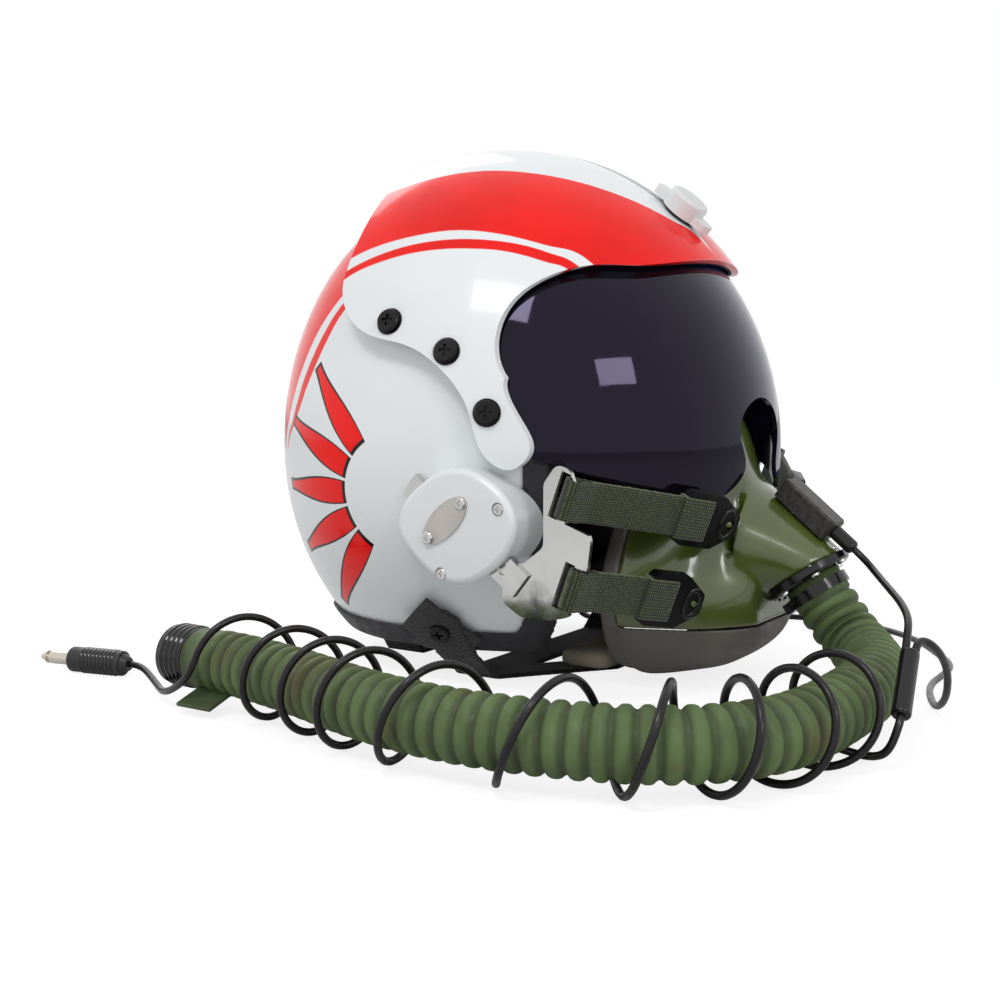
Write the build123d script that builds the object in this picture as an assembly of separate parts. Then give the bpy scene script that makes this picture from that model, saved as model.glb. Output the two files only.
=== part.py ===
"""Pilot flight helmet with a smoke visor, an oxygen mask on side bayonets, a ribbed hose
and a comm cord wound round the hose.  Millimetres, +Z up, the face looks along -Y and the
wearer's right side is at -X.  Everything is drawn about the middle of the dome, with the
floor at Z 0, and moved at the end so that the origin lies under the middle of the object."""
import os
from functools import lru_cache
from math import asin, cos, degrees, pi, radians, sin, sqrt, tan

from build123d import *

# Dome and visor cover
dome_height = 108.4
cover_radius = 149.0
cover_half_width = 127.0
cover_wall = 3.0
visor_gap = 2.4
visor_wall = 2.2
visor_standoff = 2.4
shell_back = 112.0
shell_drop = 128.0
shell_wall = 3.5
rim_height = 20.0
opening_front = 81.0
opening_top = 192.0
opening_corner = 42.0
cheek_height = 54.0
cheek_back = 27.0
origin_shift = 38.5

# Clearances between pieces
fit_gap = 0.3
running_fit = 0.06

# Slot, slider and knob of the visor
slot_width = 8.0
slot_start_deg = 49.0
visor_travel_deg = 45.0
slider_width = 26.0
slider_length = 14.0
slider_height = 1.6
stem_radius = 2.8
stem_clearance = 0.6
knob_radius = 10.0
knob_height = 9.0
knob_groove = 1.4
knob_groove_count = 5
wing_reach = 17.0
wing_width = 9.0
wing_height = 4.0
gasket_wall = 1.0
gasket_radius = 8.6

# Visor lens
lens_inner_radius = 74.0
lens_top_deg = 55.0
nose_half_width = 22.0
nose_waist = 18.0
nose_top = 135.0
nose_middle = 106.0
nose_low = 86.0

# Screws, spacers and edge trim of the cover
screw_rings = (62.5, 64.5, 67.0)
screw_angles_deg = (78.0, 48.0, 19.0)
screw_head_radius = 5.4
screw_head_height = 2.2
screw_shank_radius = 2.0
screw_hole_clearance = 0.3
washer_radius = 6.2
washer_height = 0.5
spacer_radius = 4.2
trim_wall = 1.2
trim_depth = 3.6

# Edge roll
roll_proud = 2.0
roll_lip = 3.2
roll_width = 8.0

# Liner, pads and ear cups
liner_wall = 13.0
liner_low = 104.0
pad_wall = 9.0
crown_pad_radius = 46.0
brow_pad_height = 24.0
brow_pad_half = 46.0
nape_pad_half = 42.0
nape_pad_low = 42.0
nape_pad_high = 86.0
cup_y = -12.0
cup_z = 64.0
cup_half_length = 31.0
cup_half_height = 34.0
cup_depth = 20.0
cup_wall = 2.5
cup_inset = 22.0
seal_width = 11.0
seal_depth = 11.0
earphone_radius = 19.0
earphone_depth = 9.0
cheek_pad_depth = 15.0

# Mask receivers, their levers, labels and screws
receiver_y = -49.0
receiver_z = 81.0
receiver_reach = 119.5
receiver_size = 29.0
receiver_edge = 3.0
receiver_screw_radius = 2.7
receiver_screw_height = 1.4
receiver_shank_radius = 1.3
receiver_screw_length = 5.0
label_length = 29.0
label_width = 13.0
label_wall = 1.0
label_angle_deg = 43.0
label_shift_share = 0.115
bayonet_angle_deg = 38.0
bayonet_width = 12.6
bayonet_thick = 4.0
bayonet_start = 4.0
bayonet_end = 40.0
bayonet_clearance = 0.3
dimple_share = 0.72
lever_inner = 20.5
lever_outer = 29.5
lever_span_deg = 24.0
lever_travel_deg = 16.0
lever_middle_deg = 145.0
lever_thick = 3.0
lever_clearance = 0.4
lever_skin = 1.2

# Brackets, mask straps and buckles
bracket_reach = 111.1
bracket_wall = 2.2
bracket_y = -94.0
bracket_z = 76.0
bracket_size = 33.0
bracket_round = 4.6
dimple_radius = 2.6
bracket_shares = ((0.68, -0.32), (0.38, -0.29), (0.09, -0.06), (0.09, 0.76), (-0.1, 1.02),
                  (-0.3, 0.96), (-0.5, 0.4), (-0.6, 0.05), (-0.56, -0.27), (-0.3, -0.93),
                  (-0.02, -1.0), (0.43, -1.0), (0.72, -0.83))
bar_tilt_deg = 20.0
bar_half = 2.0
bar_round = 2.7
upper_bar = (-103.0, 95.0)
lower_bar = (-105.0, 57.0)
upper_anchor = (-46.0, -139.0, 80.0)
lower_anchor = (-62.0, -128.0, 41.0)
strap_slot = 4.8
strap_width = 18.5
strap_wall = 1.5
buckle_length = 19.0
buckle_margin = 3.2
buckle_wall = 5.4
buckle_clearance = 0.2
upper_nose = 11.0
lower_nose = 11.0
nose_half = 4.6
stud_radius = 1.9
lug_depth = 19.0

# Chin and nape straps
strap_thick = 2.2
tab_width = 24.0
tab_drop = 20.0
tab_low = 17.0
chin_tab_y = -24.0
chin_strap_half = 62.0
chin_foot_half = 86.0
chin_pad_y = -62.0
chin_pad_length = 58.0
chin_pad_width = 28.0
chin_pad_height = 9.0
chin_screw_z = 27.0
strap_screw_radius = 5.2
nape_strap_y = 40.0
nape_half = 60.0
nape_waist = 45.0
nape_strap_low_half = 34.0

# Oxygen mask: sections as Y, lowest Z, highest Z and half width
mask_sections = ((-97.0, 4.5, 132.0, 59.0), (-113.0, 5.0, 131.0, 56.0),
                 (-127.0, 8.0, 128.5, 50.0), (-137.0, 12.5, 102.0, 42.0),
                 (-146.0, 19.5, 93.0, 32.0), (-150.5, 28.0, 82.0, 21.0))
pear_shares = ((0, 1), (0.38, 0.92), (0.72, 0.62), (1.0, 0.33), (0.8, 0.08), (0, 0))
mask_two_tone = 31.5
mask_wall = 3.0
seal_wall = 2.4
seal_rear = 9.0
snout_y = -141.0
snout_z = 68.0
snout_half_width = 33.0
snout_half_height = 29.0
port_y = -165.5
port_z = 55.0
port_angle_deg = 54.2
port_radius = 18.8
flange_radius = 20.4
flange_wall = 4.0
flange_screw_ring = 17.2
flange_screw_radius = 2.2
flange_screw_length = 3.0
flange_screw_count = 6
spigot_wall = 1.4
spigot_length = 12.0
valve_wall = 2.4
valve_length = 6.0
valve_disc_radius = 12.0
valve_disc_wall = 1.2
valve_travel = 1.5
valve_stem_radius = 1.5
valve_spoke = 2.4

# Microphone and its plug, on top of the snout
mic_slope_deg = 39.5
mic_y = -163.0
mic_z = 81.0
mic_length = 31.0
mic_width = 14.0
mic_height = 10.0
mic_round = 2.0
mic_stem_radius = 4.0
mic_capsule_radius = 10.0
mic_capsule_height = 7.0
mic_plug_radius = 3.4
mic_plug_length = 12.0

# Ribbed hose
hose_radius = 14.0
hose_root_radius = 12.2
hose_bore = 9.6
rib_pitch = 7.9
rib_place_shares = (0, 0.2, 0.5, 0.8)
rib_height_shares = (0, 0.8, 1, 0.8)
hose_drop = 24.4
cuff_length = 12.0
cuff_radius = 13.4
clamp_wall = 1.6
clamp_width = 5.0
connector_wall = 1.6
connector_length = 16.0

# Cords, splitter and plug
cord_radius = 1.6
cord_lead = 7.0
cord_spacing = 1.9
corner_share = 0.45
parallel_limit = 0.000001
look_share = 0.05
winding_radius = 18.4
winding_rise = 3.0
gap_reach = 14.0
junction_radius = 3.8
plug_radius = 6.1
plug_neck_length = 3.0
plug_body_length = 30.0
pin_radius = 3.175
pin_length = 18.0
pin_tip_length = 6.0
pin_hold = 8.0
pin_hold_share = 0.8
plug_heading = (-11, 50, 0)
junction_start = (-77, -237, 40)
junction_end = (-100, -241, 20)

# Places along the hose where the wound cord lies under it and over it, in turn
winding_stations = (131, 141, 159, 174, 188, 202, 215, 230, 247, 268, 293, 317, 340, 355,
                    368, 381, 393, 410, 425, 446, 468)
# The hose's route, from the mask's port down to the floor and round to its end connector
hose_route = [
    (-12, -199, 21.6), (-36, -212, 20.3), (-64, -217, 20.3),
    (-95, -218, 20.3), (-126, -217, 20.3), (-154, -211, 20.3), (-177, -195, 20.3),
    (-191, -171, 20.3), (-199, -144, 20.3), (-203, -116, 20.3), (-202, -86, 20.3),
    (-195, -54, 20.3), (-184, -22, 20.3), (-176, 8, 20.3), (-171.5, 32, 20.3),
    (-170.5, 52, 20.3),
]
# The cord from the microphone plug to the splitter, from there into the helmet, and the
# two ends of the wound cord
mic_route = [(-12, -204, 58), (-30, -216, 55), (-50, -227, 54)]
branch_route = [
    (-62, -243, 46), (-47, -245, 36), (-32, -241, 17), (-14, -232, 4), (9, -221, 1.7),
    (34, -214, 1.7), (58, -214, 1.7), (80, -212, 1.7), (103, -198, 1.7), (128, -182, 1.7),
    (150, -158, 1.7), (161, -128, 1.7), (158, -96, 1.7), (146, -68, 1.7), (129, -38, 1.7),
    (108, -14, 1.7), (86, -2, 1.7), (69.5, -2, 12), (69.5, -2, 31.2),
]
lead_route = [(-107, -239, 7.5), (-102, -231, 3)]
tail_route = [(-191, 44, 13.4), (-184, 62, 5.2), (-169, 83, 4.2), (-156, 104, 5.6),
              (-153.2, 114, 6.1)]

visor_radius = cover_radius - cover_wall - visor_gap
visor_half_width = cover_half_width - cover_wall - visor_gap
shell_radius = visor_radius - visor_wall - visor_standoff
shell_half_width = visor_half_width - visor_wall - visor_standoff
overrun = cover_radius / 8
far = 3 * cover_radius
middle = Pos(0, 0, dome_height)


def spheroid(half_width, radius):
    """A solid of revolution about the X axis through the middle of the dome."""
    arc = EllipticalCenterArc((0, 0), half_width, radius, arc_size=180)
    half = make_face(Curve() + [arc, Line(arc @ 1, arc @ 0)])
    return middle * revolve(half, Axis.X)


@lru_cache(maxsize=None)
def dome(grow):
    """The shell's form, four quarters of ellipsoids that meet tangentially."""
    width = shell_half_width + grow
    total = None
    for back, depth in ((1, shell_back + grow), (-1, shell_radius + grow)):
        for up, height in ((1, shell_radius + grow), (-1, shell_drop + grow)):
            corner = Pos(0, back / 2, up / 2) * Box(2, 1, 1)
            quarter = scale(Sphere(1) & corner, by=(width, depth, height))
            total = quarter if total is None else total + quarter
    return middle * total


def side_prism(face, reach=far):
    """A face drawn in Y and Z, pushed out to both sides along X."""
    return extrude(Plane.YZ * face, reach, both=True)


def slab(low, high):
    """All that lies between two heights."""
    return Pos(0, 0, (low + high) / 2) * Box(2 * far, 2 * far, high - low)


def wall_between(outer, inner):
    return dome(outer) - dome(inner)


def mirrored(shape):
    """The same piece on the wearer's left side."""
    return mirror(shape, Plane.YZ)


def polar(radius, angle):
    """Y and Z of a place in the side view, the angle counted up from straight ahead."""
    return (-radius * cos(radians(angle)), dome_height + radius * sin(radians(angle)))


def side_reach(half_width, radius, y, z):
    """How far out a spheroid's side lies at a place of the side view."""
    share = (y * y + (z - dome_height) ** 2) / radius**2
    return half_width * sqrt(1 - share)


def plane_at(point, normal, along=(0, 0, 1)):
    """A plane at a point whose Z is the normal and whose X leans towards a direction."""
    normal = Vector(*normal).normalized()
    along = Vector(*along)
    along = (along - normal * along.dot(normal)).normalized()
    return Plane(origin=point, x_dir=along, z_dir=normal)


def rod(radius, height):
    """A cylinder that stands on Z 0."""
    return Cylinder(radius, height, align=(Align.CENTER, Align.CENTER, Align.MIN))


def shares_at(shares, size, y, z):
    """Places of an outline, from shares of a size round a middle."""
    return [(y + share[0] * size, z + share[1] * size) for share in shares]


# Shell, edge roll and liner
def opening_face(grow):
    """The face opening in the side view; grow moves its edge back into the shell."""
    front = -opening_front + grow
    top = opening_top + grow
    corner = opening_corner + grow
    inset = corner * (1 - sin(pi / 4))
    arc = ThreePointArc(
        (front - corner, top), (front - inset, top - inset), (front, top - corner)
    )
    cheek = Spline(
        (front, cheek_height * 1.3),
        (front + cheek_back * 0.3, cheek_height * 0.75),
        (front + cheek_back, rim_height / 2),
        tangents=[(0, -1), (0.5, -1)],
    )
    foot = Line(cheek @ 1, (front + cheek_back * 1.4, -overrun))
    outer = Polyline(foot @ 1, (-far, -overrun), (-far, top), arc @ 0)
    return make_face(Curve() + [arc, Line(arc @ 1, cheek @ 0), cheek, foot, outer])


def make_shell():
    wall = wall_between(0, -shell_wall) - slab(-far, rim_height)
    return wall - side_prism(opening_face(0))


def make_edge_roll(shell):
    """A moulded channel that grips the shell's edge round the opening and the rim."""
    body = wall_between(roll_proud, -shell_wall - roll_proud)
    around = side_prism(opening_face(roll_width)) + slab(-far, rim_height + roll_width)
    hole = side_prism(opening_face(-roll_lip)) + slab(-far, rim_height - roll_lip)
    return (body & around) - hole - shell


def make_liner():
    wall = wall_between(-shell_wall - fit_gap, -shell_wall - fit_gap - liner_wall)
    return (wall & slab(liner_low, far)) - side_prism(opening_face(roll_width + roll_proud))


def make_head_pads():
    start = -shell_wall - 2 * fit_gap - liner_wall
    layer = wall_between(start, start - pad_wall)
    crown = layer & Pos(0, 0, dome_height + far / 2) * Cylinder(crown_pad_radius, far)
    brow_low = opening_top + roll_width
    brow_mid = brow_low + brow_pad_height / 2
    brow_box = Pos(0, -crown_pad_radius - fit_gap - far / 2, brow_mid)
    brow = layer & brow_box * Box(2 * brow_pad_half, far, brow_pad_height)
    start = -shell_wall - fit_gap
    layer = wall_between(start, start - liner_wall)
    nape_box = Pos(0, far / 2 + shell_back / 3, (nape_pad_low + nape_pad_high) / 2)
    nape = layer & nape_box * Box(2 * nape_pad_half, far, nape_pad_high - nape_pad_low)
    return crown, brow, nape


# Ear cups and cheek pads, drawn for the right side
def oval(half_length, half_height, depth, reach):
    """An oval block on the ear cup's axis, from a reach at the right side inwards."""
    face = Plane.YZ * (Pos(cup_y, cup_z) * Ellipse(half_length, half_height))
    return Pos(-reach, 0, 0) * extrude(face, depth)


def make_ear_cup():
    reach = shell_half_width - cup_inset
    cup = oval(cup_half_length, cup_half_height, cup_depth, reach)
    hollow = oval(
        cup_half_length - cup_wall, cup_half_height - cup_wall, cup_depth, reach - cup_wall
    )
    cup = fillet(cup.edges().sort_by(Axis.X)[:1], cup_depth / 3) - hollow
    return cup & dome(-shell_wall - fit_gap)


def make_cup_spacer():
    """A block of foam that fills the room between the ear cup and the shell."""
    reach = shell_half_width - cup_inset
    block = oval(cup_half_length / 2, cup_half_height / 2, -cup_inset, reach + fit_gap)
    return block & dome(-shell_wall - fit_gap)


def make_ear_seal():
    reach = shell_half_width - cup_inset - cup_depth
    ring = oval(cup_half_length, cup_half_height, seal_depth, reach)
    ring -= oval(
        cup_half_length - seal_width, cup_half_height - seal_width, 3 * seal_depth,
        reach + seal_depth,
    )
    return fillet(ring.edges().sort_by(Axis.X)[-2:], seal_depth / 3)


def make_earphone():
    reach = shell_half_width - cup_inset - cup_wall
    return Pos(-reach, cup_y, cup_z) * Rot(0, 90, 0) * rod(earphone_radius, earphone_depth)


def make_cheek_pad():
    """A pad in front of the ear cup, drawn in towards its foot."""
    high = cup_z + cup_half_height / 2
    low = rim_height + roll_width
    back = cup_y - cup_half_length - 2 * fit_gap
    front = -opening_front + roll_width + 2 * fit_gap
    face = make_face(Polyline(
        (back, low), (back - cheek_back / 5, low), (front, cheek_height), (front, high),
        (back, high), close=True,
    ))
    start = -shell_wall - roll_proud - fit_gap
    right = Pos(-far / 2, 0, 0) * Box(far, 2 * far, 2 * far)
    return wall_between(start, start - cheek_pad_depth) & side_prism(face) & right


# Visor cover, its screws, spacers and trim
def cover_face():
    """The cover's outline in the side view, in shares of its radius."""
    rear_shares = ((0.175, 1.05), (0.142, 0.54))
    low_shares = ((0.088, 0.442), (-0.02, 0.372), (-0.16, 0.34), (-0.268, 0.28),
                  (-0.37, 0.157), (-0.437, 0.006), (-0.49, -0.017), (-0.54, 0.03),
                  (-0.52, 0.107), (-0.463, 0.245))
    edge_shares = ((-0.42, 0.385), (-0.444, 0.473), (-0.52, 0.545), (-0.62, 0.577),
                   (-0.70, 0.577), (-0.765, 0.592), (-0.86, 0.665))
    rear = Line(*shares_at(rear_shares, cover_radius, 0, dome_height))
    low = Spline([rear @ 1] + shares_at(low_shares, cover_radius, 0, dome_height))
    edge = Spline([low @ 1] + shares_at(edge_shares, cover_radius, 0, dome_height))
    over = (edge @ 1) + Vector(-far, far)
    rear_top = (rear_shares[0][0] * cover_radius, over.Y)
    outer = Polyline(edge @ 1, (over.X, over.Y), rear_top, rear @ 0)
    return make_face(Curve() + [rear, low, edge, outer])


def arc_band(radius_in, radius_out, start_deg, end_deg, width):
    """A band round the dome's X axis, between two radii and two angles."""
    mid = (start_deg + end_deg) / 2
    out_arc = ThreePointArc(
        polar(radius_out, start_deg), polar(radius_out, mid), polar(radius_out, end_deg)
    )
    in_arc = ThreePointArc(
        polar(radius_in, end_deg), polar(radius_in, mid), polar(radius_in, start_deg)
    )
    ends = [Line(out_arc @ 1, in_arc @ 0), Line(in_arc @ 1, out_arc @ 0)]
    return side_prism(make_face(Curve() + [out_arc, in_arc] + ends), width / 2)


def crown_plane(radius, angle):
    """A plane on the middle line of the dome, its normal away from the dome's axis."""
    y, z = polar(radius, angle)
    return plane_at((0, y, z), (0, y, z - dome_height), (1, 0, 0))


def slot_cut():
    """The slot over the stem's whole travel, with round ends."""
    margin = degrees(asin(stem_clearance / cover_radius))
    start = slot_start_deg - margin
    end = slot_start_deg + visor_travel_deg + margin
    low = cover_radius - cover_wall - overrun / 4
    high = cover_radius + overrun / 4
    band = arc_band(low, high, start, end, slot_width)
    for angle in (start, end):
        band += crown_plane(low, angle).location * rod(slot_width / 2, high - low)
    return band


def screw_planes():
    """A plane at each cover screw, on the cover's outside, with its normal outwards."""
    planes = []
    for side in (-1, 1):
        for ring, angle in zip(screw_rings, screw_angles_deg):
            y, z = polar(ring, angle)
            x = side * side_reach(cover_half_width, cover_radius, y, z)
            rise = (z - dome_height) / cover_radius**2
            normal = (x / cover_half_width**2, y / cover_radius**2, rise)
            planes.append(plane_at((x, y, z), normal))
    return planes


def make_cover():
    wall = spheroid(cover_half_width, cover_radius)
    wall -= spheroid(cover_half_width - cover_wall, cover_radius - cover_wall)
    half = wall & extrude(Plane.YZ * cover_face(), -cover_radius)
    cover = half + mirrored(half) - slot_cut()
    for plane in screw_planes():
        hole = Cylinder(screw_shank_radius + screw_hole_clearance, overrun)
        cover -= plane.location * hole
    return cover


def make_cover_trim():
    """A dark strip inside the brow's lower edge."""
    face = cover_face()
    strip = face - Pos(0, trim_depth) * face
    outer = spheroid(cover_half_width - cover_wall, cover_radius - cover_wall)
    inner_half = cover_half_width - cover_wall - trim_wall
    inner = spheroid(inner_half, cover_radius - cover_wall - trim_wall)
    brow_low = dome_height + cover_radius / 2
    brow = Pos(0, -far - lens_inner_radius, brow_low + far / 2) * Box(4 * far, 2 * far, far)
    trim = (outer - inner) & side_prism(strip, cover_radius) & brow
    return trim.solids().sort_by(SortBy.VOLUME)[-1]


def pan_head(radius, height, shank_radius, shank_length):
    """A pan head screw seated at Z 0, with a cross recess and a shank downwards."""
    head = rod(radius, height)
    head = chamfer(head.edges().sort_by(Axis.Z)[-1:], height / 3)
    for turn in (0, 90):
        head -= Pos(0, 0, height) * Rot(0, 0, turn) * Box(radius, radius / 4, height)
    return head + Pos(0, 0, -shank_length) * rod(shank_radius, shank_length)


def make_cover_screws():
    reach = cover_wall + visor_gap + visor_wall + visor_standoff + shell_wall / 2
    screw = pan_head(screw_head_radius, screw_head_height, screw_shank_radius, reach)
    screw = Pos(0, 0, washer_height) * screw + rod(washer_radius, washer_height)
    return Compound([plane.location * screw for plane in screw_planes()])


def screw_bores(radius):
    """Bores along the cover screws."""
    bores = [plane.location * Cylinder(radius, 2 * overrun) for plane in screw_planes()]
    return Compound(bores)


def make_cover_spacers():
    """Rubber spacers round the cover's screws, which carry it clear of the lens."""
    inner = spheroid(cover_half_width - cover_wall, cover_radius - cover_wall)
    shell = spheroid(shell_half_width, shell_radius)
    spacers = []
    for plane in screw_planes():
        spacer = (plane.location * Cylinder(spacer_radius, 2 * overrun) & inner) - shell
        hole = Cylinder(screw_shank_radius + running_fit, 4 * overrun)
        spacers.append(spacer - plane.location * hole)
    return Compound(spacers)


# Visor lens with its slider and knob
def lens_face():
    """The lens in the side view, from its top edge round to its lower edge."""
    low_shares = ((-0.42, 0.0), (-0.627, -0.0125), (-0.71, -0.047), (-0.808, -0.077),
                  (-0.944, -0.139), (-1.017, -0.156), (-1.25, -0.17))
    low = Spline(shares_at(low_shares, visor_radius, 0, dome_height))
    top = polar(far, lens_top_deg)
    outline = Polyline(low @ 1, (-far, dome_height), top, (0, dome_height), low @ 0)
    return make_face(Curve() + [low, outline])


def nose_cut():
    """The gap over the mask's nose, in the front view."""
    points = [
        (-2.8 * nose_half_width, nose_low - nose_half_width / 2),
        (-1.75 * nose_half_width, nose_low + nose_half_width / 9),
        (-nose_waist, nose_middle), (-nose_half_width, nose_top - 0.75 * nose_half_width),
        (0, nose_top),
    ]
    points += [(-x, z) for x, z in reversed(points[:-1])]
    edge = Spline(points)
    face = make_face(Curve() + [edge, Polyline(edge @ 1, (0, -far), edge @ 0)])
    return extrude(Plane.XZ * face, far)


def make_lens():
    wall = spheroid(visor_half_width, visor_radius)
    wall -= spheroid(visor_half_width - visor_wall, visor_radius - visor_wall)
    sides = middle * Rot(0, 90, 0) * Cylinder(lens_inner_radius, 2 * far)
    stem = crown_plane(visor_radius, slot_start_deg).location
    hole = stem * Cylinder(stem_radius + running_fit, overrun)
    return (wall & side_prism(lens_face())) - sides - nose_cut() - hole


def make_slider():
    """The plate under the cover, with the stem that stands up through the slot."""
    plate_deg = degrees(slider_length / visor_radius)
    top = visor_radius + slider_height
    start = slot_start_deg - plate_deg / 2
    plate = arc_band(visor_radius, top, start, start + plate_deg, slider_width)
    plate &= spheroid(visor_half_width + slider_height, top)
    plate -= spheroid(visor_half_width, visor_radius)
    stem = crown_plane(visor_radius - visor_wall, slot_start_deg).location
    reach = knob_seat() + knob_height / 2 - visor_radius + visor_wall
    return plate + stem * rod(stem_radius, reach)


def knob_seat():
    """How far from the dome's axis the knob's underside is."""
    return cover_radius + fit_gap + gasket_wall + fit_gap / 2


def make_gasket():
    ring = rod(gasket_radius, gasket_wall) - Cylinder(stem_radius + running_fit, overrun)
    return crown_plane(cover_radius + fit_gap, slot_start_deg).location * ring


def make_knob():
    knob = rod(knob_radius, knob_height)
    knob = fillet(knob.edges().sort_by(Axis.Z)[-1:], knob_height / 5)
    wing = Pos(0, wing_reach / 2, wing_height / 2) * Box(wing_width, wing_reach, wing_height)
    wing = fillet(wing.edges().filter_by(Axis.Z).sort_by(Axis.Y)[-2:], wing_width / 3)
    knob += wing + Rot(0, 0, 180) * wing
    for index in range(knob_groove_count):
        place = (index - (knob_groove_count - 1) / 2) * 2 * knob_groove
        groove = Pos(place, 0, knob_height) * Box(knob_groove, 3 * knob_radius, knob_groove)
        knob -= groove
    knob -= rod(stem_radius + running_fit, knob_height / 2 + fit_gap)
    return crown_plane(knob_seat(), slot_start_deg).location * knob


# Mask receivers on the shell's sides, drawn for the right side
def receiver_face():
    shares = ((1.03, 0.0), (0.94, 0.28), (0.60, 0.62), (0.22, 0.83), (-0.22, 0.87),
              (-0.68, 0.67), (-1.0, 0.37), (-1.1, 0.04), (-0.98, -0.31), (-0.62, -0.67),
              (-0.15, -0.88), (0.36, -0.79), (0.8, -0.45))
    points = shares_at(shares, receiver_size, receiver_y, receiver_z)
    return make_face(Spline(points, periodic=True))


def beside(reach, face, depth):
    """A face of the side view pushed out inwards from a reach at the right side."""
    return Pos(-reach, 0, 0) * extrude(Plane.YZ * face, depth)


def bayonet_box(start, end, grow):
    """The room of the tongue, from one distance to another off the receiver's middle."""
    long = end - start
    mid = (start + end) / 2
    box = Box(bayonet_thick + 2 * grow, long + 2 * grow, bayonet_width + 2 * grow)
    inner = bracket_reach - bracket_wall / 2
    place = Pos(-inner - bayonet_thick / 2, receiver_y, receiver_z)
    return place * Rot(bayonet_angle_deg, 0, 0) * Pos(0, -mid, 0) * box


def lever_sector(inner, outer, start_deg, end_deg, thick):
    """A flat sector round the receiver's middle, in the middle of the casting."""
    mid = (start_deg + end_deg) / 2
    angles = (start_deg, mid, end_deg)
    out = [(-outer * cos(radians(a)), outer * sin(radians(a))) for a in angles]
    back = [(-inner * cos(radians(a)), inner * sin(radians(a))) for a in reversed(angles)]
    out_arc = ThreePointArc(*out)
    in_arc = ThreePointArc(*back)
    ends = [Line(out_arc @ 1, in_arc @ 0), Line(in_arc @ 1, out_arc @ 0)]
    face = Pos(receiver_y, receiver_z) * make_face(Curve() + [out_arc, in_arc] + ends)
    middle_reach = receiver_reach - lever_skin - lever_thick / 2
    return beside(middle_reach + thick / 2, face, thick)


def make_lever():
    half = lever_span_deg / 2
    start = lever_middle_deg - half
    end = lever_middle_deg + half
    return lever_sector(lever_inner, lever_outer, start, end, lever_thick)


def lever_room():
    half = lever_span_deg / 2
    spare = degrees(lever_clearance / lever_inner)
    start = lever_middle_deg - half - lever_travel_deg - spare
    end = lever_middle_deg + half + spare
    inner = lever_inner - lever_clearance
    thick = lever_thick + 2 * lever_clearance
    return lever_sector(inner, 2 * lever_outer, start, end, thick)


def label_face(grow):
    ellipse = Ellipse(label_length / 2 + grow, label_width / 2 + grow)
    y = receiver_y + receiver_size * label_shift_share
    z = receiver_z + receiver_size * label_shift_share * 2 / 3
    return Pos(y, z) * Rot(0, 0, -label_angle_deg) * ellipse


def receiver_screw_places():
    """Y, Z and reach of the screws: two through the label, two sunk in the casting."""
    y = receiver_y + receiver_size * label_shift_share
    z = receiver_z + receiver_size * label_shift_share * 2 / 3
    off = label_length / 2 - receiver_screw_radius
    turn = radians(label_angle_deg)
    top = receiver_reach + label_wall
    sunk = receiver_reach - receiver_screw_height
    return [
        (y + off * cos(turn), z - off * sin(turn), top),
        (y - off * cos(turn), z + off * sin(turn), top),
        (receiver_y - 0.817 * receiver_size, receiver_z + 0.3 * receiver_size, sunk),
        (receiver_y + 0.21 * receiver_size, receiver_z - 0.745 * receiver_size, sunk),
    ]


def outward(y, z, reach):
    """A place at the right side, its Z pointing away from the helmet."""
    return Pos(-reach, y, z) * Rot(0, -90, 0)


def make_receiver():
    depth = receiver_size
    body = beside(receiver_reach, receiver_face(), depth)
    body = fillet(body.faces().sort_by(Axis.X)[0].edges(), receiver_edge)
    roll_room = side_prism(opening_face(roll_width + fit_gap)) & dome(roll_proud + fit_gap)
    body -= dome(0) + roll_room
    body -= bayonet_box(bayonet_start, 2 * bayonet_end, bayonet_clearance)
    body -= lever_room()
    for y, z, reach in receiver_screw_places():
        shank = rod(receiver_shank_radius + running_fit, receiver_screw_length)
        body -= outward(y, z, reach) * Pos(0, 0, -receiver_screw_length) * shank
        if reach < receiver_reach:
            body -= outward(y, z, reach) * rod(receiver_screw_radius + fit_gap, overrun)
    return body


def make_label():
    label = beside(receiver_reach + label_wall, label_face(0), label_wall)
    for y, z, reach in receiver_screw_places():
        label -= outward(y, z, reach) * Cylinder(receiver_shank_radius + running_fit, overrun)
    return label


def make_receiver_screws():
    screw = pan_head(
        receiver_screw_radius, receiver_screw_height, receiver_shank_radius,
        receiver_screw_length - fit_gap,
    )
    return [outward(y, z, reach) * screw for y, z, reach in receiver_screw_places()]


# Brackets with the tongues, and the bars that the straps loop round
def bar_frames():
    """Middle, bar direction and run direction of the upper and lower strap."""
    bar = Vector(0, sin(radians(bar_tilt_deg)), -cos(radians(bar_tilt_deg)))
    frames = []
    for start, end in ((upper_bar, upper_anchor), (lower_bar, lower_anchor)):
        start = Vector(-bracket_reach, *start)
        run = Vector(*end) - start
        run = (run - bar * run.dot(bar)).normalized()
        length = (Vector(*end) - start).dot(run)
        frames.append((Plane(origin=start, x_dir=run, z_dir=bar), length))
    return frames


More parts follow.
